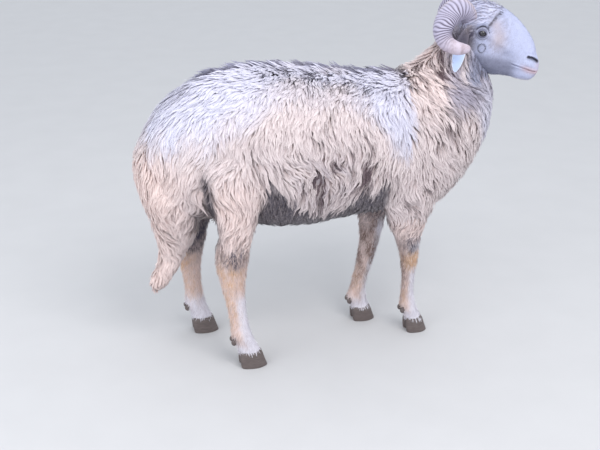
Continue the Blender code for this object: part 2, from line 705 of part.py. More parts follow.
flesh = [item for name, item in nodes.items()
         if not name.startswith(("eye", "horn", "ear", "hoof"))]
drape = closed_tree(flesh)
trees = {name: closed_tree([item]) for name, item in nodes.items()}
grown_locks = []
rng = np.random.default_rng(8)
for name, (spacing, length, width, thick, wool) in LOCKS.items():
    item = nodes[name]
    mesh = item.data
    mesh.calc_loop_triangles()
    corners = np.array([[mesh.vertices[i].co[:] for i in t.vertices] for t in mesh.loop_triangles])
    areas = 0.5 * np.linalg.norm(np.cross(corners[:, 1] - corners[:, 0],
                                          corners[:, 2] - corners[:, 0]), axis=1)
    chances = areas / areas.sum()
    depths = {}
    kept = []
    group = bpy.data.collections.new("locks_" + name)
    bpy.context.scene.collection.children.link(group)
    for attempt in range(2600):
        t = corners[rng.choice(len(corners), p=chances)]
        u, v = rng.random(2)
        if u + v > 1:
            u, v = 1 - u, 1 - v
        start = Vector(t[0] + u * (t[1] - t[0]) + v * (t[2] - t[0]))
        normal = Vector(np.cross(t[1] - t[0], t[2] - t[0])).normalized()
        draws = rng.random(4)
        if any((start - other).length < spacing for other in kept):
            continue
        probe = start + normal * 0.008
        if any(is_inside(tree, probe) for other, tree in trees.items() if other != name):
            continue
        if any(tree.find_nearest(start)[3] < 0.006 for other, tree in trees.items()
               if other != name):
            continue
        coat = lock_lift(name, start)
        under = 1.0 if normal.z > -0.3 else UNDERSIDE_SHORTER
        turn = (draws[2] - 0.5) * 0.5
        for shorten in (1.0, 0.75, 0.55):
            size = length * under * shorten * (0.85 + 0.3 * draws[0])
            broad = width * (0.85 + 0.3 * draws[1])
            lift = coat * under * (0.9 + 0.2 * draws[3])
            verts, faces = lock_shape(drape, start, normal, wool, size, broad, thick, lift, turn,
                                      grow=4 * GAP)
            test = BVHTree.FromPolygons(verts, faces)
            crosses = any(test.overlap(tree) for other, tree in trees.items() if other != name)
            crosses = crosses or any(test.overlap(tree) for other, tree in grown_locks
                                     if other != name)
            if not crosses:
                break
        if crosses:
            continue
        verts, faces = lock_shape(drape, start, normal, wool, size, broad, thick, lift, turn)
        lock = new_object("lock", verts, faces)
        lock.hide_render = True
        bpy.context.scene.collection.objects.unlink(lock)
        group.objects.link(lock)
        grown_locks.append((name, test))
        kept.append(start)
    apply_boolean(item, "UNION", group=group, solver=LOCK_SOLVER)
    for lock in list(group.objects):
        bpy.data.objects.remove(lock)
    bpy.data.collections.remove(group)
    print("locks", name, len(kept))

colours = {
    "horn": ((0.46, 0.42, 0.38), 0.6),
    "hoof": ((0.32, 0.27, 0.22), 0.5),
    "eye": ((0.05, 0.04, 0.04), 0.1),
    "ear_tag": ((0.45, 0.62, 0.85), 0.4),
    "tail": ((0.66, 0.56, 0.50), 0.9),
    "shank": ((0.70, 0.58, 0.47), 0.85),
    "cannon": ((0.66, 0.53, 0.43), 0.85),
    "head": ((0.66, 0.63, 0.62), 0.8),
}
for name, item in nodes.items():
    if name in LOCKS:
        keep_largest(item)
    look = ((0.68, 0.62, 0.57), 0.9)
    for key, value in colours.items():
        if name.startswith(key):
            look = value
    paint(item, *look)

# The frame's origin goes under the middle of the whole animal, on the floor.
low = Vector((9, 9, 9))
high = Vector((-9, -9, -9))
for item in nodes.values():
    for vert in item.data.vertices:
        for i in range(3):
            low[i] = min(low[i], vert.co[i])
            high[i] = max(high[i], vert.co[i])
shift = Vector((-(low.x + high.x) / 2, -(low.y + high.y) / 2, -low.z))
for item in nodes.values():
    for vert in item.data.vertices:
        vert.co += shift
print("bounds", tuple(low), tuple(high), "shift", tuple(shift))
for name, item in nodes.items():
    print(name, sum(len(p.vertices) - 2 for p in item.data.polygons))
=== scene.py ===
"""Looks of a karakul ram, life size, standing still: skin, horns, eyes, hooves, tag and fleece.

Everything is built in the animal's own frame: +X towards the head, +Y to its left, +Z up.
"""
import math

import bmesh
import bpy
import numpy as np
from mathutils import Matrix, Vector
from mathutils.bvhtree import BVHTree
from mathutils.kdtree import KDTree


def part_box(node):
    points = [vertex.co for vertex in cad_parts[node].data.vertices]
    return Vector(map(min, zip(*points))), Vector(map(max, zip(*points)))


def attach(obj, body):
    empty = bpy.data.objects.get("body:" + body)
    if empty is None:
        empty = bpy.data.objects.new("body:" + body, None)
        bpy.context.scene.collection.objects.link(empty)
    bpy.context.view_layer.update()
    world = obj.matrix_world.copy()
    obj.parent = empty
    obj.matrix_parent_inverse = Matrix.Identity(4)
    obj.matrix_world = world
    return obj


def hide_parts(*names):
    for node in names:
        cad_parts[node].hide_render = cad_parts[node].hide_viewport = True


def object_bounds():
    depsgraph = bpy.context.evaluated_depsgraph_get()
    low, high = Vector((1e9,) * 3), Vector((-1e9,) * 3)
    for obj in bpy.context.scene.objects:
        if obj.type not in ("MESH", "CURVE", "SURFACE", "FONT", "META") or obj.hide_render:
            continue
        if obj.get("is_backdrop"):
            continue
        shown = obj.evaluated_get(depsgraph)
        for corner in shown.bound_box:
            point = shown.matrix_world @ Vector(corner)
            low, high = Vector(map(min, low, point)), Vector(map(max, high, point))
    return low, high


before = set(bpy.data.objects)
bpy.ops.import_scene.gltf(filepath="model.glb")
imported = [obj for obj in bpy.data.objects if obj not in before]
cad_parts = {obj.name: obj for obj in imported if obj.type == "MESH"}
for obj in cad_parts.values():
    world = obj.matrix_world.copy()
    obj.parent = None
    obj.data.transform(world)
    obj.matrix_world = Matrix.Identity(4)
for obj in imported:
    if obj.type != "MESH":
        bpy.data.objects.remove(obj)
cad_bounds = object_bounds()

# The head is turned a little to the ram's right about the top of its neck, and the eye
# shows where the animal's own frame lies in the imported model.
HEAD_TURN = math.radians(-20)
HEAD_PIVOT = np.array([0.500, 0.0, 0.0])
EYE = np.array([0.570, -0.0520, 0.919])


def turned(points, turn=HEAD_TURN):
    """Points of the straight head, moved to where the turned head has them."""
    points = np.asarray(points, float) - HEAD_PIVOT
    cos, sin = math.cos(turn), math.sin(turn)
    out = points.copy()
    out[..., 0] = points[..., 0] * cos - points[..., 1] * sin
    out[..., 1] = points[..., 0] * sin + points[..., 1] * cos
    return out + HEAD_PIVOT


eye_low, eye_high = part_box("eye_right")
ORIGIN = Vector((eye_low + eye_high) / 2) - Vector(turned(EYE))


# Camera: beside the ram's right flank and above its back, about three metres away, looking
# down at the middle of its side as in the photograph. Colours are shown as they are.
camera_data = bpy.data.cameras.new("camera")
camera_data.sensor_width = 36.0
camera_data.lens = 65.5
camera = bpy.data.objects.new("camera", camera_data)
bpy.context.scene.collection.objects.link(camera)
AIM = Vector((0.0, -0.15, 0.42)) + ORIGIN
camera.location = Vector((-0.6888, -2.9125, 1.5415)) + ORIGIN
camera.rotation_euler = (AIM - camera.location).to_track_quat("-Z", "Y").to_euler()
bpy.context.scene.camera = camera
bpy.context.scene.view_settings.view_transform = "Standard"


# Studio: a pale floor that runs on to the horizon, an even pale sky and two wide soft
# lights, the brighter one high over the ram's right shoulder.
class Wire:
    """A socket of a material, so that sums on it add Math nodes."""

    def __init__(self, socket):
        self.socket = socket
        self.tree = socket.id_data

    def sum(self, operation, other, swapped=False):
        pair = (other, self) if swapped else (self, other)
        return make_node(self.tree, "ShaderNodeMath", {"operation": operation}, {0: pair[0], 1: pair[1]})

    def __add__(self, other):
        return self.sum("ADD", other)

    def __sub__(self, other):
        return self.sum("SUBTRACT", other)

    def __rsub__(self, other):
        return self.sum("SUBTRACT", other, True)

    def __mul__(self, other):
        return self.sum("MULTIPLY", other)

    __radd__ = __add__
    __rmul__ = __mul__

    def between(self, low, high):
        """0 below low, 1 above high and a smooth step from one to the other."""
        return make_node(self.tree, "ShaderNodeMapRange", {"interpolation_type": "SMOOTHSTEP"},
                         {0: self, 1: low, 2: high})


def make_node(tree, kind, settings=None, values=None, out=0):
    """Adds a node: its settings first, then the values or wires of its sockets."""
    node = tree.nodes.new(kind)
    for name, setting in (settings or {}).items():
        setattr(node, name, setting)
    for name, value in (values or {}).items():
        if isinstance(value, Wire):
            tree.links.new(value.socket, node.inputs[name])
        elif isinstance(value, tuple) and len(value) == 3 and node.inputs[name].type == "RGBA":
            node.inputs[name].default_value = (*value, 1.0)
        else:
            node.inputs[name].default_value = value
    return Wire(node.outputs[out])


def mixed(tree, share, first, second, way="MIX"):
    """First colour, with a share of the second over it."""
    return make_node(tree, "ShaderNodeMix", {"data_type": "RGBA", "blend_type": way},
                     {0: share, 6: first, 7: second}, 2)


def new_material(name, roughness):
    """A material with its tree and its shader."""
    material = bpy.data.materials.new(name)
    material.use_nodes = True
    tree = material.node_tree
    shader = tree.nodes["Principled BSDF"]
    shader.inputs["Roughness"].default_value = roughness
    return material, tree, shader


def noise(tree, place, scale, detail=3.0, roughness=0.5):
    """Uneven light and dark, from 0 to 1; a larger scale makes it finer."""
    return make_node(tree, "ShaderNodeTexNoise", {},
                     {"Vector": place, "Scale": scale, "Detail": detail, "Roughness": roughness})


def object_place(tree):
    """Places in the piece's own frame."""
    return make_node(tree, "ShaderNodeTexCoord", {}, {}, 3)


def mark_of(tree, name):
    """A value that the mesh carries at each of its points."""
    return make_node(tree, "ShaderNodeAttribute", {"attribute_name": name}, {}, 2)


def finish_surface(tree, shader, colour, height=None, strength=0.0, distance=0.0):
    """Gives the shader its colour and, where a height is given, a relief."""
    tree.links.new(colour.socket, shader.inputs["Base Color"])
    if height is not None:
        relief = make_node(tree, "ShaderNodeBump", {}, {"Strength": strength, "Distance": distance,
                                                        "Height": height})
        tree.links.new(relief.socket, shader.inputs["Normal"])


def place_object(name, data, place=ORIGIN):
    """A new object of the scene."""
    item = bpy.data.objects.new(name, data)
    item.location = place
    bpy.context.scene.collection.objects.link(item)
    return item


def new_piece(name, points, faces, material):
    """A mesh object of the ram, given in the animal's own frame."""
    mesh = bpy.data.meshes.new(name)
    mesh.from_pydata([tuple(p) for p in points], [], [tuple(f) for f in faces])
    mesh.materials.append(material)
    mesh.polygons.foreach_set("use_smooth", [True] * len(mesh.polygons))
    return place_object(name, mesh)


floor_material, tree, shader = new_material("pale_floor", 0.9)
clouds = noise(tree, object_place(tree), 6.0)
finish_surface(tree, shader, mixed(tree, clouds, (0.56, 0.56, 0.57), (0.60, 0.60, 0.61)))
floor_mesh = bpy.data.meshes.new("floor")
floor_mesh.from_pydata([(-30, -30, 0), (30, -30, 0), (30, 60, 0), (-30, 60, 0)], [], [(0, 1, 2, 3)])
floor_mesh.materials.append(floor_material)
floor = place_object("floor", floor_mesh, (0, 0, 0))
floor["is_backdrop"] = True

world = bpy.data.worlds.new("studio")
world.use_nodes = True
sky = world.node_tree.nodes["Background"]
sky.inputs["Color"].default_value = (0.90, 0.94, 1.0, 1.0)
sky.inputs["Strength"].default_value = 1.05
bpy.context.scene.world = world

for light_name, spot, size, power, tint in (
        ("key", (0.6, -2.6, 3.4), 2.0, 74.0, (1.0, 0.97, 0.96)),
        ("fill", (-2.8, -1.6, 1.8), 3.0, 40.0, (0.95, 0.97, 1.0))):
    light_data = bpy.data.lights.new(light_name, "AREA")
    light_data.size = size
    light_data.energy = power
    light_data.color = tint
    light = place_object(light_name, light_data, spot)
    light.rotation_euler = (Vector((0.0, 0.0, 0.5)) - light.location).to_track_quat("-Z", "Y").to_euler()


# Skin: one closed surface for trunk, neck, head, ears, tail and legs down to the hooves.
# Each row gives, in the upright plane of its form: first edge x, z, second edge x, z,
# side y of the centre, half width and the depth of coat; the skin lies half of it inside.
SKIN_SHARE = 0.5
TORSO_ROWS = (
    (-0.402, 0.650, -0.405, 0.520, 0.0, 0.070, 0.020),
    (-0.385, 0.700, -0.392, 0.470, 0.0, 0.115, 0.025),
    (-0.345, 0.755, -0.355, 0.430, 0.0, 0.150, 0.030),
    (-0.285, 0.800, -0.285, 0.410, 0.0, 0.172, 0.035),
    (-0.220, 0.833, -0.215, 0.400, 0.0, 0.182, 0.040),
    (-0.130, 0.850, -0.125, 0.385, 0.0, 0.190, 0.040),
    (-0.040, 0.850, -0.040, 0.368, 0.0, 0.200, 0.040),
    (0.060, 0.838, 0.060, 0.368, 0.0, 0.205, 0.040),
    (0.160, 0.824, 0.160, 0.380, 0.0, 0.200, 0.040),
    (0.250, 0.815, 0.250, 0.385, 0.0, 0.187, 0.040),
    (0.330, 0.815, 0.335, 0.375, 0.0, 0.172, 0.040),
    (0.400, 0.800, 0.420, 0.385, 0.0, 0.150, 0.040),
    (0.460, 0.740, 0.490, 0.440, 0.0, 0.115, 0.035),
    (0.505, 0.670, 0.530, 0.520, 0.0, 0.065, 0.030),
)
NECK_ROWS = (
    (0.290, 0.790, 0.440, 0.430, 0.0, 0.120, 0.030),
    (0.325, 0.812, 0.505, 0.455, 0.0, 0.145, 0.040),
    (0.360, 0.828, 0.550, 0.512, 0.0, 0.138, 0.045),
    (0.395, 0.850, 0.588, 0.580, 0.0, 0.125, 0.045),
    (0.420, 0.873, 0.610, 0.648, 0.0, 0.110, 0.042),
    (0.440, 0.893, 0.617, 0.705, 0.0, 0.097, 0.036),
    (0.455, 0.912, 0.610, 0.755, 0.0, 0.086, 0.028),
    (0.475, 0.930, 0.600, 0.790, 0.0, 0.072, 0.020),
    (0.495, 0.940, 0.590, 0.830, 0.0, 0.052, 0.012),
)
HEAD_ROWS = (
    (0.488, 0.950, 0.515, 0.875, 0.0, 0.040, 0.006),
    (0.508, 0.982, 0.535, 0.842, 0.0, 0.054, 0.006),
    (0.540, 0.998, 0.552, 0.815, 0.0, 0.061, 0.005),
    (0.578, 1.000, 0.577, 0.797, 0.0, 0.063, 0.004),
    (0.616, 0.989, 0.603, 0.789, 0.0, 0.057, 0.003),
    (0.648, 0.971, 0.630, 0.788, 0.0, 0.049, 0.003),
    (0.677, 0.946, 0.655, 0.785, 0.0, 0.043, 0.002),
    (0.702, 0.916, 0.677, 0.779, 0.0, 0.038, 0.002),
    (0.720, 0.886, 0.697, 0.775, 0.0, 0.035, 0.002),
    (0.729, 0.857, 0.714, 0.776, 0.0, 0.031, 0.002),
    (0.737, 0.834, 0.728, 0.788, 0.0, 0.022, 0.001),
    (0.739, 0.820, 0.735, 0.802, 0.0, 0.008, 0.001),
)
TAIL_ROWS = (
    (-0.392, 0.700, -0.330, 0.665, 0.0, 0.060, 0.020),
    (-0.425, 0.650, -0.310, 0.625, 0.0, 0.100, 0.028),
    (-0.446, 0.595, -0.300, 0.580, 0.0, 0.122, 0.034),
    (-0.444, 0.545, -0.285, 0.530, 0.0, 0.132, 0.034),
    (-0.432, 0.495, -0.268, 0.480, 0.0, 0.134, 0.034),
    (-0.416, 0.450, -0.255, 0.425, 0.0, 0.122, 0.034),
    (-0.402, 0.405, -0.270, 0.370, 0.0, 0.095, 0.030),
    (-0.391, 0.365, -0.292, 0.330, 0.0, 0.068, 0.026),
    (-0.385, 0.320, -0.308, 0.298, 0.0, 0.050, 0.022),
    (-0.391, 0.280, -0.325, 0.268, 0.0, 0.043, 0.020),
    (-0.405, 0.245, -0.345, 0.240, 0.0, 0.037, 0.018),
    (-0.413, 0.222, -0.362, 0.215, 0.0, 0.028, 0.014),
    (-0.408, 0.203, -0.385, 0.200, 0.0, 0.012, 0.008),
)
HIND_RIGHT_ROWS = (
    (-0.060, 0.690, -0.300, 0.680, -0.085, 0.060, 0.030),
    (-0.055, 0.620, -0.318, 0.610, -0.105, 0.080, 0.030),
    (-0.075, 0.550, -0.305, 0.545, -0.118, 0.080, 0.028),
    (-0.104, 0.480, -0.275, 0.475, -0.126, 0.067, 0.024),
    (-0.126, 0.410, -0.247, 0.405, -0.130, 0.054, 0.018),
    (-0.140, 0.352, -0.240, 0.352, -0.132, 0.043, 0.010),
    (-0.149, 0.305, -0.238, 0.308, -0.134, 0.035, 0.004),
    (-0.158, 0.255, -0.228, 0.260, -0.137, 0.029, 0.003),
    (-0.158, 0.190, -0.213, 0.195, -0.141, 0.024, 0.003),
    (-0.151, 0.130, -0.204, 0.135, -0.145, 0.023, 0.003),
    (-0.140, 0.090, -0.201, 0.094, -0.148, 0.027, 0.003),
    (-0.124, 0.056, -0.186, 0.060, -0.150, 0.026, 0.003),
    (-0.114, 0.042, -0.183, 0.044, -0.151, 0.029, 0.002),
)
HIND_LEFT_ROWS = (
    (-0.080, 0.690, -0.320, 0.680, 0.085, 0.060, 0.030),
    (-0.085, 0.620, -0.340, 0.610, 0.105, 0.080, 0.030),
    (-0.110, 0.550, -0.340, 0.545, 0.116, 0.080, 0.028),
    (-0.150, 0.480, -0.333, 0.475, 0.120, 0.067, 0.024),
    (-0.190, 0.410, -0.325, 0.405, 0.120, 0.054, 0.018),
    (-0.215, 0.352, -0.324, 0.352, 0.118, 0.043, 0.010),
    (-0.228, 0.300, -0.322, 0.305, 0.116, 0.035, 0.004),
    (-0.240, 0.250, -0.315, 0.255, 0.114, 0.029, 0.003),
    (-0.247, 0.190, -0.303, 0.195, 0.112, 0.025, 0.003),
    (-0.243, 0.135, -0.297, 0.140, 0.110, 0.024, 0.003),
    (-0.234, 0.092, -0.297, 0.096, 0.108, 0.027, 0.003),
    (-0.222, 0.056, -0.283, 0.060, 0.106, 0.026, 0.003),
    (-0.212, 0.042, -0.280, 0.044, 0.105, 0.029, 0.002),
)
FORE_RIGHT_ROWS = (
    (0.435, 0.560, 0.250, 0.560, -0.085, 0.060, 0.030),
    (0.440, 0.490, 0.252, 0.490, -0.085, 0.066, 0.028),
    (0.425, 0.430, 0.262, 0.430, -0.080, 0.058, 0.024),
    (0.403, 0.370, 0.285, 0.370, -0.072, 0.048, 0.018),
    (0.391, 0.315, 0.312, 0.315, -0.066, 0.038, 0.010),
    (0.388, 0.280, 0.325, 0.280, -0.063, 0.031, 0.005),
    (0.385, 0.245, 0.334, 0.248, -0.061, 0.028, 0.003),
    (0.380, 0.205, 0.339, 0.208, -0.059, 0.023, 0.003),
    (0.378, 0.150, 0.342, 0.152, -0.056, 0.020, 0.003),
    (0.384, 0.110, 0.341, 0.112, -0.053, 0.022, 0.003),
    (0.390, 0.085, 0.341, 0.088, -0.052, 0.026, 0.003),
    (0.402, 0.054, 0.353, 0.058, -0.050, 0.024, 0.003),
    (0.412, 0.040, 0.355, 0.042, -0.050, 0.027, 0.002),
)
FORE_LEFT_ROWS = (
    (0.410, 0.560, 0.225, 0.560, 0.085, 0.060, 0.030),
    (0.395, 0.490, 0.215, 0.490, 0.085, 0.066, 0.028),
    (0.365, 0.430, 0.215, 0.430, 0.082, 0.058, 0.024),
    (0.338, 0.370, 0.232, 0.370, 0.078, 0.048, 0.018),
    (0.322, 0.315, 0.243, 0.315, 0.075, 0.038, 0.010),
    (0.310, 0.275, 0.245, 0.275, 0.073, 0.031, 0.005),
    (0.299, 0.235, 0.243, 0.238, 0.071, 0.028, 0.003),
    (0.284, 0.190, 0.236, 0.193, 0.069, 0.024, 0.003),
    (0.270, 0.145, 0.226, 0.147, 0.068, 0.021, 0.003),
    (0.264, 0.105, 0.216, 0.107, 0.067, 0.023, 0.003),
    (0.266, 0.078, 0.207, 0.080, 0.066, 0.026, 0.003),
    (0.272, 0.054, 0.215, 0.056, 0.065, 0.024, 0.003),
    (0.280, 0.040, 0.218, 0.042, 0.065, 0.027, 0.002),
)
EAR_LINE = (
    (0.530, -0.048, 0.925, 0.010),
    (0.521, -0.068, 0.915, 0.013),
    (0.511, -0.088, 0.892, 0.018),
    (0.503, -0.097, 0.866, 0.021),
    (0.498, -0.100, 0.842, 0.015),
    (0.494, -0.101, 0.818, 0.004),
)
EAR_THICKNESS = 0.0036
EAR_CUP = 0.0060
# Form, its rows, fullness, where it is widest, and the length of wool that grows there.
FORMS = (
    ("torso", TORSO_ROWS, 2.2, 0.52, 0.066),
    ("neck", NECK_ROWS, 2.2, 0.50, 0.058),
    ("tail", TAIL_ROWS, 2.3, 0.50, 0.053),
    ("hind_right", HIND_RIGHT_ROWS, 2.1, 0.50, 0.052),
    ("hind_left", HIND_LEFT_ROWS, 2.1, 0.50, 0.052),
    ("fore_right", FORE_RIGHT_ROWS, 2.1, 0.50, 0.044),
    ("fore_left", FORE_LEFT_ROWS, 2.1, 0.50, 0.044),
)
BODY_SIDES = 48
BODY_STEPS = 6
BODY_VOXEL = 0.006
HEAD_VOXEL = 0.0016


def smooth_rows(rows, steps):
    """Rows between the given ones, on a smooth curve through them."""
    rows = np.array(rows, float)
    out = []
    for i in range(len(rows) - 1):
        before = rows[max(i - 1, 0)]
        here = rows[i]
        after = rows[i + 1]
        beyond = rows[min(i + 2, len(rows) - 1)]
        for k in range(steps):
            t = k / steps
            out.append(0.5 * (2 * here + (after - before) * t
                              + (2 * before - 5 * here + 4 * after - beyond) * t * t
                              + (3 * here - before - 3 * after + beyond) * t ** 3))
    out.append(rows[-1])
    return np.array(out)


def tube_faces(rings, sides):
    """Faces of a tube of rings, its two ends closed."""
    faces = []
    for r in range(rings - 1):
        for k in range(sides):
            n = (k + 1) % sides
            faces.append((r * sides + k, r * sides + n, (r + 1) * sides + n, (r + 1) * sides + k))
    faces.append(tuple(range(sides - 1, -1, -1)))
    faces.append(tuple(range((rings - 1) * sides, rings * sides)))
    return faces


def loft(rows, sides, fullness, widest, steps):
    """Points of a form's skin, ring by ring, and its faces."""
    rows = smooth_rows(rows, steps)
    angle = 2 * np.pi * np.arange(sides) / sides
    along = np.sign(np.cos(angle)) * np.abs(np.cos(angle)) ** (2 / fullness)
    across = np.sign(np.sin(angle)) * np.abs(np.sin(angle)) ** (2 / fullness)
    points = []
    for row in rows:
        first = np.array([row[0], row[4], row[1]])
        second = np.array([row[2], row[4], row[3]])
        axis = first - second
        height = np.linalg.norm(axis)
        axis /= height
        inset = SKIN_SHARE * row[6]
        reach = np.where(along > 0, height * (1 - widest) - inset, height * widest - inset) * along
        ring = second + axis * height * widest + np.outer(reach, axis)
        ring[:, 1] += (row[5] - inset) * across
        points.append(ring)
    return np.concatenate(points), tube_faces(len(rows), sides)


def sweep_line(line, section, up):
    """Carries section(i, share) along a line; up says which way its height points."""
    line = np.array(line, float)
    points = []
    for i in range(len(line)):
        ahead = line[min(i + 1, len(line) - 1)] - line[max(i - 1, 0)]
        ahead /= np.linalg.norm(ahead)
        side = np.cross(ahead, up)
        side /= np.linalg.norm(side)
        rise = np.cross(side, ahead)
        ring = np.array(section(i, i / (len(line) - 1)))
        points.append(line[i] + np.outer(ring[:, 0], side) + np.outer(ring[:, 1], rise))
    return np.concatenate(points), tube_faces(len(line), len(ring))


def face_outwards(mesh):
    """Turns all faces of closed shells to the outside."""
    shape = bmesh.new()
    shape.from_mesh(mesh)
    bmesh.ops.recalc_face_normals(shape, faces=shape.faces)
    shape.to_mesh(mesh)
    shape.free()


def remeshed(shells, voxel):
    """Closed shells, joined into one closed mesh of even faces."""
    mesh = bpy.data.meshes.new("shells")
    points = np.concatenate([s[0] for s in shells])
    faces = []
    start = 0
    for shell_points, shell_faces in shells:
        faces += [tuple(start + i for i in face) for face in shell_faces]
        start += len(shell_points)
    mesh.from_pydata([tuple(p) for p in points], [], faces)
    face_outwards(mesh)
    item = place_object("shells", mesh, (0, 0, 0))
    change = item.modifiers.new("remesh", "REMESH")
    change.mode = "VOXEL"
    change.voxel_size = voxel
    bpy.context.view_layer.update()
    result = bpy.data.meshes.new_from_object(item.evaluated_get(bpy.context.evaluated_depsgraph_get()))
    bpy.data.objects.remove(item)
    return result


def points_of(mesh):
    points = np.empty(len(mesh.vertices) * 3)
    mesh.vertices.foreach_get("co", points)
    return points.reshape(-1, 3)


def normals_of(mesh):
    normals = np.empty(len(mesh.vertices) * 3, np.float32)
    mesh.vertex_normals.foreach_get("vector", normals)
    return normals.reshape(-1, 3).astype(float)


def move_points(mesh, points):
    mesh.vertices.foreach_set("co", np.asarray(points, float).ravel())
    mesh.update()


def edges_of(mesh):
    edges = np.empty(len(mesh.edges) * 2, np.int32)
    mesh.edges.foreach_get("vertices", edges)
    return edges.reshape(-1, 2)


def neighbour_mean(values, edges, count):
    """Mean of the values at each point's neighbours."""
    total = np.zeros((count, values.shape[1]))
    for column in range(values.shape[1]):
        total[:, column] = (np.bincount(edges[:, 0], values[edges[:, 1], column], count)
                            + np.bincount(edges[:, 1], values[edges[:, 0], column], count))
    degree = np.bincount(edges.ravel(), minlength=count)
    return total / np.maximum(degree, 1)[:, None]


def relax(mesh, rounds):
    """Evens a mesh out while it keeps its volume."""
    points = points_of(mesh)
    edges = edges_of(mesh)
    for _ in range(rounds):
        for pull in (0.5, -0.52):
            points = points + pull * (neighbour_mean(points, edges, len(points)) - points)
    move_points(mesh, points)


def smooth_step(value, low, high):
    t = np.clip((value - low) / (high - low), 0, 1)
    return t * t * (3 - 2 * t)


def line_distance(points, line):
    """Distance of each point to a line of points, and how far along it is."""
    best = np.full(len(points), 9.0)
    share = np.zeros(len(points))
    line = np.asarray(line, float)
    for i in range(len(line) - 1):
        step = line[i + 1] - line[i]
        t = np.clip((points - line[i]) @ step / (step @ step), 0, 1)
        far = np.linalg.norm(points - (line[i] + t[:, None] * step), axis=1)
        closer = far < best
        best = np.where(closer, far, best)
        share = np.where(closer, (i + t) / (len(line) - 1), share)
    return best, share


# Head, straight and symmetric while it is shaped: its loft and its two ears.
head_shells = [loft(HEAD_ROWS, sides=64, fullness=2.1, widest=0.56, steps=8)]
for side in (1, -1):
    ear_rows = smooth_rows([(x, y * side, z, half) for x, y, z, half in EAR_LINE], 6)

    def ear_section(i, share, rows=ear_rows):
        half = rows[i][3]
        ring = []
        for u in np.linspace(-1, 1, 9):
            ring.append((u * half, EAR_CUP * (u * u - 0.5) * half / 0.02 + EAR_THICKNESS / 2))
        for u in np.linspace(1, -1, 9):
            ring.append((u * half, EAR_CUP * (u * u - 0.5) * half / 0.02 - EAR_THICKNESS / 2))
        return ring

    head_shells.append(sweep_line(ear_rows[:, :3], ear_section, np.array([0.35, -side, 0.2])))
head_mesh = remeshed(head_shells, HEAD_VOXEL)
relax(head_mesh, 6)


def on_right(points):
    """The points, with those of the left side mirrored to the right."""
    points = points.copy()
    points[:, 1] = -np.abs(points[:, 1])
    return points


def refine(mesh, centre_list):
    """Splits the faces near each centre, given with its radius."""
    shape = bmesh.new()
    shape.from_mesh(mesh)
    points = np.array([v.co for v in shape.verts])
    folded = on_right(points)
    near = np.zeros(len(points), bool)
    for centre, radius in centre_list:
        near |= np.linalg.norm(folded - np.asarray(centre), axis=1) < radius
    edges = [e for e in shape.edges if near[e.verts[0].index] and near[e.verts[1].index]]
    bmesh.ops.subdivide_edges(shape, edges=edges, cuts=1, use_grid_fill=True)
    bmesh.ops.triangulate(shape, faces=[f for f in shape.faces if len(f.verts) > 4])
    shape.to_mesh(mesh)
    shape.free()
    mesh.update()


def on_side(x, z):
    """Where a line across the head at x, z meets its right side."""
    hit = head_tree.ray_cast(Vector((x, -0.2, z)), Vector((0, 1, 0)))
    return np.array(hit[0])


def mesh_tree(mesh):
    faces = [tuple(p.vertices) for p in mesh.polygons]
    return BVHTree.FromPolygons([tuple(p) for p in points_of(mesh)], faces)


head_tree = mesh_tree(head_mesh)
NOSTRIL = [on_side(x, z) for x, z in ((0.704, 0.849), (0.711, 0.847), (0.718, 0.844),
                                      (0.726, 0.839), (0.731, 0.835))]
MOUTH = [on_side(x, z) for x, z in ((0.652, 0.8305), (0.662, 0.8265), (0.674, 0.8225), (0.688, 0.8180),
                                    (0.702, 0.8130), (0.716, 0.8080), (0.726, 0.8055))]
MOUTH.append(np.array([0.7335, -0.008, 0.8060]))
MOUTH.append(np.array([0.7350, 0.0, 0.8075]))
CREASE = [on_side(x, z) for x, z in ((0.586, 0.936), (0.592, 0.946), (0.600, 0.956),
                                     (0.609, 0.966), (0.617, 0.972))]
RING = [on_side(0.570 + 0.0105 * math.cos(a), 0.8760 + 0.0125 * math.sin(a))
        for a in np.linspace(0, 2 * math.pi, 17)]
refine(head_mesh, [(EYE + (0, -0.008, 0), 0.028)] + [(p, 0.010) for p in NOSTRIL]
       + [(p, 0.008) for p in MOUTH] + [(p, 0.007) for p in CREASE] + [(p, 0.007) for p in RING])
refine(head_mesh, [(EYE + (0, -0.010, 0), 0.019)] + [(p, 0.005) for p in NOSTRIL])
relax(head_mesh, 2)

# Broad forms of the skull and muzzle: centre x, z, radii, turn in degrees, and height.
HEAD_FORMS = (
    (0.572, 0.9490, 0.024, 0.010, 12, 0.0050),
    (0.612, 0.8960, 0.034, 0.010, -38, 0.0030),
    (0.628, 0.9290, 0.030, 0.012, -42, -0.0022),
    (0.580, 0.8370, 0.026, 0.028, 0, 0.0042),
    (0.640, 0.8480, 0.022, 0.016, -30, -0.0030),
    (0.545, 0.9150, 0.010, 0.020, 0, -0.0030),
    (0.705, 0.8290, 0.016, 0.010, -25, 0.0026),
    (0.712, 0.8620, 0.013, 0.007, -35, 0.0022),
    (0.706, 0.7900, 0.017, 0.010, -10, 0.0022),
    (0.664, 0.8100, 0.020, 0.007, -15, -0.0016),
    (0.600, 0.8030, 0.030, 0.008, -10, -0.0015),
)


def tilted(points, x, z, lean):
    """How far points lie along and above a line through x, z that leans by the angle."""
    dx = points[:, 0] - x
    dz = points[:, 2] - z
    return dx * math.cos(lean) + dz * math.sin(lean), -dx * math.sin(lean) + dz * math.cos(lean)


points = points_of(head_mesh)
normals = normals_of(head_mesh)
sideways = smooth_step(np.abs(normals[:, 1]), 0.25, 0.75)
on_face = smooth_step(points[:, 0], 0.530, 0.545)
rise = np.zeros(len(points))
for x, z, wide, tall, lean, height in HEAD_FORMS:
    u, v = tilted(points, x, z, math.radians(lean))
    rise += height * np.exp(-(u / wide) ** 2 - (v / tall) ** 2)
move_points(head_mesh, points + normals * (rise * sideways * on_face)[:, None])

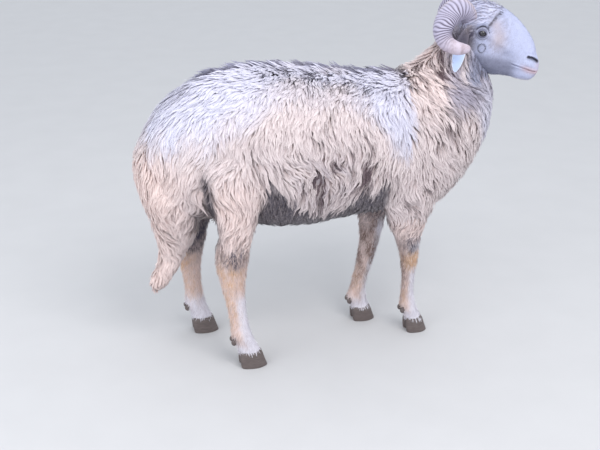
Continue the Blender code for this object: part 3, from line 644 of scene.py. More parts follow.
# Eyelids: domes over the eyeball with an almond opening, a fold above and bags below.
EYE_RADIUS = 0.0135
LID_DOME = 0.0153
OPEN_HALF_LENGTH = 0.0106
OPEN_HALF_HEIGHT = 0.0079
EYE_LEAN = math.radians(-14)


def about_eye(points):
    """How far points are from the eye's centre, above it, and out of its almond opening."""
    u, v = tilted(points, EYE[0], EYE[2], EYE_LEAN)
    opening = np.abs(u / OPEN_HALF_LENGTH) ** 1.75 + np.abs(v / OPEN_HALF_HEIGHT) ** 1.75
    return np.hypot(points[:, 0] - EYE[0], points[:, 2] - EYE[2]), v, opening


points = points_of(head_mesh)
folded = on_right(points)
round_distance, v, opening = about_eye(folded)
near_eye = (round_distance < 0.030) & (folded[:, 1] < -0.030)
outward = -folded[:, 1]
fold_above = np.exp(-((round_distance - 0.0185) / 0.0028) ** 2) * smooth_step(v, 0.001, 0.010)
bag_below = np.exp(-((round_distance - 0.0178) / 0.0020) ** 2) * smooth_step(-v, 0.001, 0.010)
bag_lower = np.exp(-((round_distance - 0.0232) / 0.0022) ** 2) * smooth_step(-v, 0.004, 0.014)
socket = np.exp(-(round_distance / 0.0200) ** 4)
level = outward - 0.0034 * fold_above - 0.0020 * bag_below - 0.0012 * bag_lower - 0.0022 * socket
dome = -EYE[1] + np.sqrt(np.maximum(LID_DOME ** 2 - round_distance ** 2, 0))
lid = np.where(round_distance < LID_DOME, dome, 0)
sharp = 700.0
lifted = np.log(np.exp(sharp * (level - 0.06)) + np.exp(sharp * (lid - 0.06))) / sharp + 0.06
rim = 0.0008 * np.exp(-((opening - 1.28) / 0.16) ** 2)
behind = -EYE[1] + np.sqrt(np.maximum(EYE_RADIUS ** 2 - round_distance ** 2, 0)) - 0.0045
shut = smooth_step(opening, 0.90, 1.10)
placed = np.where(round_distance < 0.0300, lifted + rim, outward) * shut + behind * (1 - shut)
points[:, 1] = np.where(near_eye, np.sign(points[:, 1]) * placed, points[:, 1])
move_points(head_mesh, points)

# Nostrils, the line of the lips, the crease before the eye, the ring below it, and the
# groove down the middle of the upper lip are pressed in along the surface.
points = points_of(head_mesh)
normals = normals_of(head_mesh)
folded = on_right(points)
nostril_far, nostril_share = line_distance(folded, NOSTRIL)
mouth_far, mouth_share = line_distance(folded, MOUTH)
crease_far, crease_share = line_distance(folded, CREASE)
ring_far, _ = line_distance(folded, RING)
nostril_width = 0.0030 + 0.0016 * np.sin(np.pi * np.clip(nostril_share, 0, 1)) ** 0.5
press = 0.0075 * (1 - smooth_step(nostril_far / nostril_width, 0.35, 1.25))
press -= 0.0016 * np.exp(-((nostril_far - 0.0055) / 0.0022) ** 2)
press += (0.0036 * smooth_step(mouth_share, -0.02, 0.20) + 0.0008) * np.exp(-(mouth_far / 0.0013) ** 2)
press -= 0.0012 * np.exp(-((mouth_far - 0.0042) / 0.0022) ** 2) * smooth_step(mouth_share, 0.0, 0.2)
press += 0.0024 * np.exp(-(crease_far / 0.0020) ** 2) * np.sin(np.pi * np.clip(crease_share + 0.15, 0, 1))
press -= 0.0010 * np.exp(-((crease_far - 0.0050) / 0.0025) ** 2) * np.sin(np.pi * np.clip(crease_share, 0, 1))
press += 0.0013 * np.exp(-(ring_far / 0.0014) ** 2)
middle = np.exp(-(points[:, 1] / 0.0014) ** 2) * smooth_step(points[:, 0], 0.722, 0.732)
lip = smooth_step(points[:, 2], 0.806, 0.812) * (1 - smooth_step(points[:, 2], 0.846, 0.856))
press += 0.0022 * middle * lip
move_points(head_mesh, points - normals * press[:, None])

# Trunk, neck, tail and legs, joined and evened out, then united with the turned head.
form_shells = [loft(rows, BODY_SIDES, fullness, widest, BODY_STEPS)
               for _, rows, fullness, widest, _ in FORMS]
body_mesh = remeshed(form_shells, BODY_VOXEL)
relax(body_mesh, 8)
move_points(head_mesh, turned(points_of(head_mesh)))


def united(first, second):
    """The two closed meshes as one closed mesh."""
    whole = place_object("whole", first, (0, 0, 0))
    other = place_object("other", second, (0, 0, 0))
    other.hide_render = True
    join = whole.modifiers.new("join", "BOOLEAN")
    join.operation = "UNION"
    join.solver = "MANIFOLD"
    join.object = other
    bpy.context.view_layer.update()
    result = bpy.data.meshes.new_from_object(whole.evaluated_get(bpy.context.evaluated_depsgraph_get()))
    bpy.data.objects.remove(whole)
    bpy.data.objects.remove(other)
    return result


skin_mesh = united(body_mesh, head_mesh)


def unturned(points):
    """Points of the turned head, moved back to where the straight head has them."""
    return turned(points, -HEAD_TURN)


def bump_at(value, centre, spread):
    return np.exp(-((value - centre) / spread) ** 2)


def ripple(points, scale, seed):
    """A smooth field between about -1 and 1 that changes over the given length."""
    rng = np.random.default_rng(seed)
    total = np.zeros(len(points))
    for _ in range(7):
        way = rng.normal(size=3)
        way *= rng.uniform(0.6, 1.5) / np.linalg.norm(way)
        total += np.sin(2 * np.pi * (points @ way) / scale + rng.uniform(0, 2 * np.pi))
    return total / 2.6


# Marks of the ram and the painted shade on it, the same for its skin and its coat: how strong
# each one is at a point.
SKIRT = ((-0.125, 0.595), (-0.110, 0.592), (-0.095, 0.582), (-0.076, 0.560), (-0.045, 0.522),
         (-0.015, 0.478), (0.010, 0.445), (0.040, 0.430), (0.090, 0.432), (0.120, 0.446),
         (0.150, 0.476), (0.174, 0.494), (0.221, 0.510), (0.245, 0.514), (0.290, 0.490))
CLEFTS = np.array((
    ((-0.268, -0.16, 0.580), (-0.259, -0.15, 0.536), (-0.246, -0.13, 0.469), (-0.238, -0.11, 0.390)),
    ((-0.300, 0.16, 0.580), (-0.296, 0.15, 0.536), (-0.300, 0.13, 0.469), (-0.312, 0.11, 0.390)),
))
WHITE_LINE = ((-0.46, 0.67), (-0.40, 0.645), (-0.30, 0.665), (-0.20, 0.715), (-0.10, 0.765), (0.0, 0.790),
              (0.12, 0.785), (0.20, 0.735), (0.255, 0.620), (0.31, 0.600), (0.335, 0.700), (0.36, 1.10),
              (0.80, 1.10))
LEGS = (HIND_RIGHT_ROWS, HIND_LEFT_ROWS, FORE_RIGHT_ROWS, FORE_LEFT_ROWS)
# Stains on the legs: leg, mark, place from its back (0) to its front (1), height, reach
# across and up, strength, and the size of its mottles.
STAINS = (
    (0, "tan", 0.35, 0.290, 0.70, 0.055, 0.85, 0.030),
    (0, "tan", 0.15, 0.190, 0.40, 0.080, 0.70, 0.022),
    (0, "smudge", 0.50, 0.345, 0.45, 0.034, 0.90, 0.010),
    (0, "smudge", 0.25, 0.400, 0.30, 0.045, 0.55, 0.012),
    (0, "smudge", 0.05, 0.090, 0.25, 0.010, 0.60, 0.013),
    (1, "smudge", 0.70, 0.320, 0.90, 0.055, 0.95, 0.040),
    (1, "tan", 0.15, 0.245, 0.50, 0.040, 0.95, 0.030),
    (1, "tan", 0.30, 0.170, 0.70, 0.060, 0.50, 0.022),
    (2, "smudge", 0.50, 0.305, 0.40, 0.032, 0.85, 0.012),
    (2, "tan", 0.65, 0.250, 0.70, 0.030, 1.50, 0.120),
    (2, "brown", 0.05, 0.225, 0.38, 0.080, 0.75, 0.012),
    (2, "tan", 0.05, 0.130, 0.35, 0.050, 0.60, 0.020),
    (3, "brown", 0.35, 0.245, 0.90, 0.120, 0.95, 0.050),
    (3, "tan", 0.10, 0.140, 0.60, 0.050, 0.60, 0.020),
    (3, "smudge", 0.40, 0.350, 0.60, 0.030, 0.60, 0.012),
)
# White fronts of the same legs: how high they reach, and where across they begin and are full.
FRONTS = ((0.245, 0.30, 0.62), (0.145, -0.60, -0.20), (0.335, 0.25, 0.60), (0.360, 0.45, 0.68))


def topknot(head):
    """1 on the wool above a line from the ear over the eye to the forehead: straight head."""
    edge = np.interp(head[:, 0], (0.520, 0.545, 0.572, 0.588, 0.602, 0.620),
                     (0.930, 0.942, 0.948, 0.948, 0.960, 0.978))
    return smooth_step(head[:, 2] - edge, -0.004, 0.008) * smooth_step(head[:, 0], 0.500, 0.515)


def cleft_share(points):
    """1 in the deep fold between tail and thigh on each side, 0 away from it."""
    share = np.zeros(len(points))
    for line in CLEFTS:
        far, along = line_distance(points * (1, 0.35, 1), line * (1, 0.35, 1))
        here = (points[:, 1] * line[0][1] > 0) & (np.abs(points[:, 1]) > 0.04)
        share = np.maximum(share, here * np.exp(-(far / (0.010 + 0.008 * along)) ** 2))
    return share


def skirt_height(points):
    """How far above the ragged lower edge of the flank's long wool a point is."""
    edge = np.array(SKIRT)
    far_side = 0.045 * smooth_step(points[:, 1], 0.0, 0.10)
    return points[:, 2] + far_side - np.interp(points[:, 0], edge[:, 0], edge[:, 1])


def between_legs(points):
    """1 on the trunk between the thigh in front of it and the foreleg behind, on either side."""
    x, y, z = points.T
    front = np.where(y < 0, np.interp(z, (0.41, 0.48, 0.55, 0.62), (-0.126, -0.104, -0.075, -0.055)),
                     np.interp(z, (0.41, 0.48, 0.55, 0.62), (-0.190, -0.150, -0.110, -0.085)))
    back = np.where(y < 0, np.interp(z, (0.37, 0.43, 0.49), (0.285, 0.262, 0.252)),
                    np.interp(z, (0.37, 0.43, 0.49), (0.232, 0.215, 0.215)))
    above_knees = smooth_step(z, 0.32, 0.35)
    return above_knees * smooth_step(x - front, -0.012, 0.006) * smooth_step(back + 0.012 - x, 0.0, 0.018)


def markings_and_shade(points):
    """How strong each mark and each painted shade is at each point, from 0 to 1."""
    x, y, z = points.T
    far = np.abs(y)
    head = unturned(points)
    hx, hz = head[:, 0], head[:, 2]
    hy = np.abs(head[:, 1])
    edges = np.array(WHITE_LINE)
    line = np.interp(x, edges[:, 0], edges[:, 1]) + 0.018 * ripple(points, 0.10, 3)
    on_head = smooth_step(hx, 0.500, 0.535) * smooth_step(hz, 0.765, 0.790)
    white = smooth_step(z - line, -0.060, 0.070)
    white = np.maximum(white, 0.90 * smooth_step(x + 0.30 * (z - 0.70), 0.515, 0.560))
    blush = np.maximum(bump_at(x, -0.42, 0.10) * smooth_step(0.66 - z, 0.0, 0.10),
                       0.75 * bump_at(x, -0.20, 0.10) * smooth_step(0.62 - z, 0.0, 0.12))
    blush = np.maximum(blush, 0.55 * bump_at(x, 0.40, 0.07) * smooth_step(z, 0.62, 0.80))
    # Painted shade beneath the trunk between the legs and below the flank's long wool, on the inner sides of
    # the legs, and deep in the folds by the tail.
    trunk = between_legs(points)
    ragged = 0.012 * ripple(points, 0.035, 5)
    belly_and_fold_shade = trunk * smooth_step(-skirt_height(points) + ragged, -0.006, 0.012)
    inner = smooth_step(0.560 - z, 0.0, 0.04) * smooth_step(0.085 - far, 0.0, 0.03)
    inner *= smooth_step(z, 0.34, 0.40)
    belly_and_fold_shade = np.maximum(belly_and_fold_shade, 0.8 * inner * smooth_step(x, -0.30, -0.26) * smooth_step(0.42 - x, 0.0, 0.05))
    belly_and_fold_shade = np.maximum(belly_and_fold_shade, 0.95 * cleft_share(points))
    grey = 0.95 * smooth_step(x, 0.425, 0.475) * smooth_step(z, 0.66, 0.74) * (1 - on_head)
    grey *= 1 - 0.55 * smooth_step(x + 0.30 * (z - 0.70), 0.52, 0.58)
    grey = np.maximum(grey, 0.45 * bump_at(x, 0.065, 0.080) * bump_at(z, 0.545, 0.070)
                      * smooth_step(ripple(points, 0.05, 6), -0.6, 0.8))
    stains = {"tan": 0 * x, "brown": 0 * x, "smudge": 0 * x}
    pale = 0 * x
    leg_hair = 0 * x
    for leg, rows in enumerate(LEGS):
        lower = np.array(rows[4:])
        order = np.argsort(lower[:, 1])
        front = np.interp(z, lower[order, 1], lower[order, 0])
        back = np.interp(z, lower[order, 3], lower[order, 2])
        side = np.interp(z, lower[order, 1], lower[order, 4])
        thick = front - back
        ahead = (x - back) / thick
        here = np.exp(-(np.maximum(np.abs(x - (front + back) / 2) - thick * 0.75, 0) / 0.015) ** 2
                      - (np.maximum(np.abs(y - side) - 0.055, 0) / 0.010) ** 2)
        low = here * smooth_step(0.400 - z, 0.0, 0.05)
        leg_hair = np.maximum(leg_hair, low)
        for owner, mark, place, height, reach, up, strength, mottle in STAINS:
            if owner == leg:
                patch = np.clip(0.72 + 0.50 * ripple(points, mottle, 11 + len(mark)), 0, 1)
                stain = strength * patch * low * bump_at(ahead, place, reach) * bump_at(z, height, up)
                stains[mark] = np.maximum(stains[mark], stain)
        top, begins, full = FRONTS[leg]
        pale = np.maximum(pale, low * smooth_step(top - z, 0.0, 0.04) * smooth_step(ahead, begins, full))
        pale = np.maximum(pale, low * smooth_step(0.100 - z, 0.0, 0.04))
        # The hind legs' inner sides, beneath the trunk, get painted shade too.
        if leg < 2:
            inside = here * smooth_step(np.abs(side) - far, 0.0, 0.030) * smooth_step(z, 0.255, 0.330)
            belly_and_fold_shade = np.maximum(belly_and_fold_shade, 0.92 * inside * smooth_step(0.52 - z, 0.0, 0.05))
    blush = np.maximum(blush, 0.70 * leg_hair)
    knot = topknot(head)
    face = np.maximum(on_head * smooth_step(hx, 0.52, 0.56), knot)
    jaw = face * smooth_step(0.868 - hz + 0.20 * (0.60 - hx), 0.0, 0.030)
    jaw *= smooth_step(0.684 - hx, 0.0, 0.035)
    jaw = np.maximum(jaw, face * 0.40 * bump_at(hz - 0.862 + 0.5 * (hx - 0.63), 0.0, 0.020)
                     * bump_at(hx, 0.645, 0.030))
    jaw = np.maximum(jaw, face * 0.42 * smooth_step(ripple(points, 0.016, 71), 0.0, 1.0)
                     * smooth_step(0.67 - hx, 0.0, 0.04))
    temple = bump_at(hx, 0.539, 0.018) * bump_at(hz, 0.913, 0.036)
    temple *= smooth_step(ripple(points, 0.012, 76), -2.0, -0.2)
    under_knot = bump_at(hz, np.interp(hx, (0.588, 0.602, 0.620), (0.941, 0.954, 0.972)), 0.0070)
    under_knot *= smooth_step(hx, 0.580, 0.590) * smooth_step(0.632 - hx, 0.0, 0.01)
    under_knot *= smooth_step(ripple(points, 0.009, 74), -0.6, 0.5)
    shade = np.maximum.reduce([0.56 * jaw, on_head * temple * (1 - knot), 0.90 * on_head * under_knot])
    from_eye = np.hypot(hx - EYE[0], hz - EYE[2]) + 0.1 * (hy < 0.030)
    bright = np.maximum(0.40 * face * bump_at(from_eye, 0.0160, 0.0015), 0.62 * knot)
    above_eye = smooth_step(hz - EYE[2] + 0.6 * (EYE[0] - hx), -0.008, 0.008)
    shade = np.maximum(shade, 0.80 * face * above_eye * bump_at(from_eye, 0.0205, 0.0034)
                       * smooth_step(ripple(points, 0.013, 75), -0.8, 0.5))
    shade = np.maximum(shade, 0.70 * face * smooth_step(0.0148 - from_eye, 0.0, 0.0012))
    coil = bump_at(hx, 0.520, 0.038) * bump_at(hz, 0.903, 0.047) * smooth_step(hy, 0.030, 0.050)
    shade = np.maximum(shade, 0.95 * coil * (1 - knot))
    yellow = face * np.clip(bump_at(hx, 0.617, 0.022) * bump_at(hz, 0.905, 0.035)
                            + 0.6 * bump_at(hx, 0.606, 0.016) * bump_at(hz, 0.944, 0.014), 0, 1)
    lips = 0.8080 + 0.34 * (0.716 - hx)
    pink = face * smooth_step(hx, 0.675, 0.705) * bump_at(hz, lips, 0.0100)
    pink = np.maximum(pink, face * 0.5 * bump_at(hx, 0.735, 0.012) * bump_at(hz, 0.822, 0.012))
    return {"white": np.clip(white * (1 - on_head), 0, 1), "blush": blush * (1 - on_head),
            "grey": grey, "tan": stains["tan"], "brown": stains["brown"], "pale": pale,
            "face": face, "belly_and_fold_shade": belly_and_fold_shade, "smudge": stains["smudge"], "shade": shade,
            "yellow": yellow, "pink": pink, "bright": bright}


def srgb(red, green, blue):
    """A colour given as 0 to 255 on a screen, as Blender takes it."""
    return tuple(c / 255 / 12.92 if c < 11 else ((c / 255 + 0.055) / 1.055) ** 2.4
                 for c in (red, green, blue))


MARK_COLOURS = (
    ("white", srgb(223, 222, 238)),
    ("blush", srgb(246, 224, 218)),
    ("grey", srgb(172, 166, 183)),
    ("pale", srgb(248, 246, 255)),
    ("tan", srgb(236, 198, 164)),
    ("brown", srgb(142, 118, 110)),
    ("face", srgb(200, 207, 237)),
    # Painted shade beneath the trunk, inside the legs and in the folds by the tail.
    ("belly_and_fold_shade", srgb(88, 82, 92)),
    ("smudge", srgb(80, 76, 94)),
    ("shade", srgb(72, 68, 88)),
    ("yellow", srgb(198, 190, 202)),
    ("pink", srgb(208, 186, 198)),
    ("bright", srgb(212, 213, 234)),
)
WOOL_COLOUR = srgb(229, 214, 215)


def marked_and_shaded_colour(tree, place):
    """The coat's colour with all of its marks and painted shade, a little uneven over the whole
    animal and broken by fine upright mottles where it is stained, and more faintly in the painted
    shade beneath the trunk."""
    colour = mixed(tree, noise(tree, place, 28.0, 4.0), WOOL_COLOUR, srgb(235, 223, 222))
    upright = make_node(tree, "ShaderNodeMapping", {}, {"Vector": place, "Scale": (210.0, 210.0, 75.0)})
    mottles = noise(tree, upright, 1.0, 3.0, 0.65).between(0.36, 0.60)
    for mark, mark_colour in MARK_COLOURS:
        strength = mark_of(tree, mark)
        if mark in ("tan", "brown", "smudge"):
            strength = strength * (mottles * 0.9 + 0.45)
        if mark == "belly_and_fold_shade":
            strength = strength * (mottles * 0.28 + 0.76)
        colour = mixed(tree, strength, colour, mark_colour)
    return colour


def set_marks(mesh, marks):
    for mark, strength in marks.items():
        layer = mesh.attributes.new(mark, "FLOAT", "POINT")
        layer.data.foreach_set("value", np.asarray(strength, np.float32))


skin_material, tree, shader = new_material("skin_and_short_hair", 0.75)
place = object_place(tree)
colour = marked_and_shaded_colour(tree, place)
hair_place = make_node(tree, "ShaderNodeMapping", {}, {"Vector": place, "Scale": (330.0, 330.0, 120.0),
                                                       "Rotation": (0.0, 0.6, 0.0)})
hairs = noise(tree, hair_place, 1.0, 3.0, 0.6)
colour = mixed(tree, (1 - hairs) * 0.45, colour, srgb(150, 138, 140), "MULTIPLY")
# Painted shade: the nostrils, lid folds, eye openings, lip line and creases of the face, and the folds by the
# tail, are darkened.
dark = mark_of(tree, "dark")
finish_surface(tree, shader, mixed(tree, dark, colour, srgb(40, 34, 42)), hairs, 0.55, 0.0012)

skin_points = points_of(skin_mesh)
move_points(skin_mesh, skin_points - 0.020 * cleft_share(skin_points)[:, None] * normals_of(skin_mesh))
skin_points = points_of(skin_mesh)
straight_points = on_right(unturned(skin_points))
marks = markings_and_shade(skin_points)


def painted_face_shade(straight):
    """Painted shade in the nostrils, along the lip line, in the creases, in the ring below the eye, in the
    eye's opening and in the folds of the lids: straight head, right side.
    """
    flatten = np.array((1, 0.3, 1))
    nostril_far, _ = line_distance(straight * flatten, np.array(NOSTRIL) * flatten)
    mouth_far, mouth_share = line_distance(straight, MOUTH)
    crease_far, _ = line_distance(straight, CREASE)
    ring_far, _ = line_distance(straight, RING)
    around, v, opening = about_eye(straight)
    side_on = straight[:, 1] < -0.035
    return np.clip(np.maximum.reduce([
        0.95 - 0.95 * smooth_step(nostril_far / 0.0048, 0.30, 1.5),
        0.55 * np.exp(-(mouth_far / 0.0016) ** 2) * smooth_step(mouth_share, 0.0, 0.12),
        0.62 * np.exp(-(crease_far / 0.0046) ** 2),
        0.72 * np.exp(-(ring_far / 0.0027) ** 2),
        side_on * (1 - smooth_step(opening, 1.02, 1.18)),
        0.78 * side_on * np.exp(-((around - 0.0185) / 0.0026) ** 2) * smooth_step(v, 0.0, 0.008),
        0.52 * side_on * np.exp(-((around - 0.0183) / 0.0020) ** 2) * smooth_step(-v, 0.0, 0.008),
    ]), 0, 1)


# The skin's dark mark is painted shade on the face and deep in the folds by the tail.
marks["dark"] = painted_face_shade(straight_points) * (skin_points[:, 0] > 0.5) * (skin_points[:, 2] > 0.76)
marks["dark"] = np.maximum(marks["dark"], 0.85 * cleft_share(skin_points))
set_marks(skin_mesh, marks)
skin_mesh.materials.clear()
skin_mesh.materials.append(skin_material)
skin_mesh.polygons.foreach_set("use_smooth", [True] * len(skin_mesh.polygons))
skin = place_object("skin", skin_mesh)
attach(skin, "root")
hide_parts("torso", "neck", "head", "tail", "tail_end", "thigh_right", "thigh_left",
            "shank_right", "shank_left", "forearm_right", "forearm_left", "cannon_right",
            "cannon_left", "ear_right", "ear_left")


# Eyes: dark brown balls with a wide level pupil and a wet clear front. Each one lies in its
# socket in the skull, behind the almond opening of the lids.
EYE_RINGS = 26
EYE_SIDES = 40
EYE_FIT = 0.985
CORNEA_BULGE = 0.035
CORNEA_SPREAD = 0.55
PUPIL_HALF_LENGTH = 0.0052
PUPIL_HALF_HEIGHT = 0.0023
IRIS_RADIUS = 0.0088
IRIS_EDGE = 0.0102
eye_material, tree, shader = new_material("eye_wet", 0.06)
place = object_place(tree)
across = make_node(tree, "ShaderNodeSeparateXYZ", {}, {0: place}, 0)
upward = make_node(tree, "ShaderNodeSeparateXYZ", {}, {0: place}, 1)
span = across * across + upward * upward
pupil_span = across * across * (1 / PUPIL_HALF_LENGTH ** 2) + upward * upward * (1 / PUPIL_HALF_HEIGHT ** 2)
streaks = noise(tree, place, 900.0, 2.0)
iris = mixed(tree, streaks, srgb(38, 34, 46), srgb(20, 18, 30))
eye_colour = mixed(tree, span.between(IRIS_RADIUS ** 2, IRIS_EDGE ** 2), iris, srgb(58, 54, 70))
eye_colour = mixed(tree, pupil_span.between(0.85, 1.15), (0.004, 0.004, 0.006), eye_colour)
finish_surface(tree, shader, eye_colour)
shader.inputs["Coat Weight"].default_value = 1.0
shader.inputs["Coat Roughness"].default_value = 0.02
for side, word in ((1, "right"), (-1, "left")):
    eye_points = []
    radius = EYE_FIT * EYE_RADIUS
    for r in range(EYE_RINGS + 1):
        polar = math.pi * r / EYE_RINGS
        bulge = 1 + CORNEA_BULGE * math.exp(-(polar / CORNEA_SPREAD) ** 2)
        for k in range(EYE_SIDES):
            angle = 2 * math.pi * k / EYE_SIDES
            eye_points.append((radius * bulge * math.sin(polar) * math.cos(angle),
                               radius * bulge * math.sin(polar) * math.sin(angle),
                               radius * bulge * math.cos(polar)))
    eye = new_piece("eyeball_" + word, eye_points, tube_faces(EYE_RINGS + 1, EYE_SIDES), eye_material)
    welded = bmesh.new()
    welded.from_mesh(eye.data)
    bmesh.ops.remove_doubles(welded, verts=welded.verts, dist=0.00002)
    welded.to_mesh(eye.data)
    welded.free()
    centre = turned(EYE * (1, side, 1))
    outward = turned(EYE * (1, side, 1) + (0.18, -side, 0.05)) - centre
    eye.location = Vector(centre) + ORIGIN
    eye.rotation_euler = Vector(outward).to_track_quat("Z", "Y").to_euler()
    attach(eye, "root")
    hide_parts("eye_" + word)


# Horns: hollow keratin sheaths on the skull that curl back, down and forward; growth has
# ringed them closely over the first two thirds, and the ends are worn smooth.
HORN_LINE = (
    (0.524, -0.024, 0.948, 0.026),
    (0.520, -0.046, 0.970, 0.030),
    (0.507, -0.067, 0.984, 0.032),
    (0.486, -0.087, 0.982, 0.031),
    (0.465, -0.106, 0.961, 0.029),
    (0.457, -0.121, 0.933, 0.026),
    (0.467, -0.132, 0.908, 0.023),
    (0.490, -0.139, 0.895, 0.020),
    (0.514, -0.143, 0.892, 0.016),
    (0.535, -0.145, 0.895, 0.008),
)
HORN_SQUASH = 0.80
# How far the left horn's loop lies forward and inward of the right one's mirror image.
FAR_HORN_SHIFT = (0.014, -0.012)
RIDGE_LENGTH = 0.0072
RIDGE_HEIGHT = 0.0032
RIDGES_FADE = (0.56, 0.80)
TIP_SHARES = (0.52, 0.80)
KEEL_ANGLE = 0.32
horn_material, tree, shader = new_material("horn_keratin", 0.55)
place = object_place(tree)
groove = mark_of(tree, "groove")
tip = mark_of(tree, "tip")
keel = mark_of(tree, "keel")
horn_colour = mixed(tree, noise(tree, place, 60.0, 4.0), srgb(196, 192, 216), srgb(172, 166, 188))
blotches = noise(tree, place, 45.0, 5.0, 0.65).between(0.40, 0.66)
worn = mixed(tree, blotches, srgb(198, 186, 200), srgb(170, 154, 164))
horn_colour = mixed(tree, tip, horn_colour, worn)
horn_colour = mixed(tree, keel, horn_colour, srgb(200, 186, 188))
horn_colour = mixed(tree, groove, horn_colour, srgb(72, 62, 82))
finish_surface(tree, shader, horn_colour, noise(tree, place, 700.0, 3.0, 0.6), 0.4, 0.0005)
HORN_SIDES = 36
for side, word in ((1, "right"), (-1, "left")):
    rows = smooth_rows([(x, y * side, z, half) for x, y, z, half in HORN_LINE], 32)
    steps = np.linalg.norm(np.diff(rows[:, :3], axis=0), axis=1)
    along = np.concatenate([[0], np.cumsum(steps)])
    length = along[-1]
    blunt = np.clip((length - along) / 0.008, 0, 1)
    if side < 0:
        rows[:, 0] += FAR_HORN_SHIFT[0] * smooth_step(along / length, 0.05, 0.35)
        rows[:, 1] += FAR_HORN_SHIFT[1] * smooth_step(along / length, 0.05, 0.35)
    rows[:, 3] *= np.sqrt(1 - (1 - blunt) ** 2) * 0.999 + 0.001
    groove_share = []
    tip_share = []
    keel_share = []

    def horn_section(i, share, rows=rows, along=along, length=length):
        ring = []
        for k in range(HORN_SIDES):
            angle = 2 * math.pi * k / HORN_SIDES
            wobble = 0.0018 * math.sin(2 * angle + 23 * share) + 0.0012 * math.sin(3 * angle + 41 * share)
            turns = (along[i] + wobble) / RIDGE_LENGTH + 0.25 * math.sin(31 * share)
            crest = abs(math.sin(math.pi * turns)) ** 0.75
            fine = 0.5 + 0.5 * math.sin(2 * math.pi * turns * 2.7 + 2 * math.sin(angle))
            fade = 1 - float(smooth_step(share, *RIDGES_FADE))
            fade *= 0.72 + 0.28 * math.cos(angle)
            edge = math.exp(-((math.remainder(angle - math.pi, 2 * math.pi)) / KEEL_ANGLE) ** 2)
            size = rows[i][3] * (1 + 0.13 * edge * (1 - share))
            size += (RIDGE_HEIGHT * (crest - 0.6) + 0.0003 * fine) * fade * min(1.0, rows[i][3] / 0.02)
            ring.append((size * math.cos(angle), size * HORN_SQUASH * math.sin(angle)))
            groove_share.append(min(1.0, fade * (1 - crest) * 1.6))
            tip_share.append(float(smooth_step(share, *TIP_SHARES)))
            keel_share.append(edge * 0.7)
        return ring

    horn_points, horn_faces = sweep_line(rows[:, :3], horn_section, np.array([0.35, side * 0.9, 0.1]))
    horn = new_piece("horn_" + word + "_ridged", turned(horn_points), horn_faces, horn_material)
    set_marks(horn.data, {"groove": groove_share, "tip": tip_share, "keel": keel_share})
    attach(horn, "root")
    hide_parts("horn_" + word)


# Hooves: two horny claws on each foot, flat below, split in the middle, with two small
# dewclaws behind the joint above.
HOOF_LENGTHEN = 0.012
HOOF_SPREAD = 0.004
CLEFT_WIDTH = 0.006
CLAW_SIDES = 32
DEWCLAW_SIDES = 16
DEWCLAW_RINGS = 9
hoof_material, tree, shader = new_material("hoof_horn", 0.5)
place = object_place(tree)
stretch = make_node(tree, "ShaderNodeMapping", {}, {"Vector": place, "Scale": (60.0, 60.0, 420.0)})
bands = noise(tree, stretch, 1.0, 3.0)
hoof_colour = mixed(tree, bands, srgb(118, 106, 102), srgb(66, 58, 60))
finish_surface(tree, shader, hoof_colour, bands, 0.5, 0.0006)
FEET = (("hind_right", HIND_RIGHT_ROWS), ("hind_left", HIND_LEFT_ROWS),
        ("fore_right", FORE_RIGHT_ROWS), ("fore_left", FORE_LEFT_ROWS))
for word, rows in FEET:
    last = rows[-1]
    levels = (
        (0.0480, last[2] + 0.0065, last[0] - 0.0050, last[5] - 0.0050),
        (0.0420, last[2] + 0.0030, last[0] - 0.0010, last[5] - 0.0015),
        (0.0330, last[2] + 0.0020, last[0] + 0.0020, last[5] + 0.0005),
        (0.0200, last[2] + 0.0025, last[0] + 0.0060, last[5] + 0.0020),
        (0.0060, last[2] + 0.0040, last[0] + 0.0110, last[5] + 0.0040),
        (0.0012, last[2] + 0.0050, last[0] + HOOF_LENGTHEN, last[5] + HOOF_SPREAD),
        (0.0000, last[2] + 0.0060, last[0] + HOOF_LENGTHEN - 0.001, last[5] + HOOF_SPREAD - 0.001),
    )
    levels = smooth_rows([(*level, 0, 0, 0) for level in levels], 4)
    claw_points = []
    claw_faces = []
    for claw in (-1, 1):
        start = len(claw_points)
        for z, heel, toe, wide, *_ in levels:
            middle = 0.5 * (heel + toe)
            reach = 0.5 * (toe - heel)
            inner = 0.5 * CLEFT_WIDTH * (1 - 0.8 * smooth_step(z, 0.030, 0.048))
            centre_y = 0.5 * (wide + inner)
            half = 0.5 * (wide - inner)
            for k in range(CLAW_SIDES):
                angle = 2 * math.pi * k / CLAW_SIDES
                forward = math.copysign(abs(math.cos(angle)) ** 0.9, math.cos(angle))
                outward = math.copysign(abs(math.sin(angle)) ** 0.75, math.sin(angle))
                narrow = 1 - 0.42 * max(forward, 0) ** 2
                y = centre_y + half * outward * narrow - 0.40 * half * max(forward, 0) ** 2
                y = max(y, inner)
                claw_points.append((middle + reach * forward, last[4] + claw * y, max(z, 0.0)))
        claw_faces += [tuple(start + i for i in face) for face in tube_faces(len(levels), CLAW_SIDES)]
    fetlock = rows[-3]
    for offset in (-0.5, 0.5):
        start = len(claw_points)
        spot = np.array((fetlock[2] + 0.005, fetlock[4] + offset * fetlock[5], fetlock[3] - 0.013))
        for r in range(DEWCLAW_RINGS):
            polar = math.pi * (r + 0.15) / (DEWCLAW_RINGS - 0.7)
            girth = math.sin(polar)
            for k in range(DEWCLAW_SIDES):
                angle = 2 * math.pi * k / DEWCLAW_SIDES
                claw_points.append(spot + (0.0078 * girth * math.cos(angle) - 0.002 * girth,
                                           0.0056 * girth * math.sin(angle),
                                           0.0105 * math.cos(polar)))
        dewclaw_faces = tube_faces(DEWCLAW_RINGS, DEWCLAW_SIDES)
        claw_faces += [tuple(start + i for i in face) for face in dewclaw_faces]
    hoof = new_piece("claws_" + word, claw_points, claw_faces, hoof_material)
    face_outwards(hoof.data)
    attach(hoof, "root")
    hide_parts("hoof_" + word)


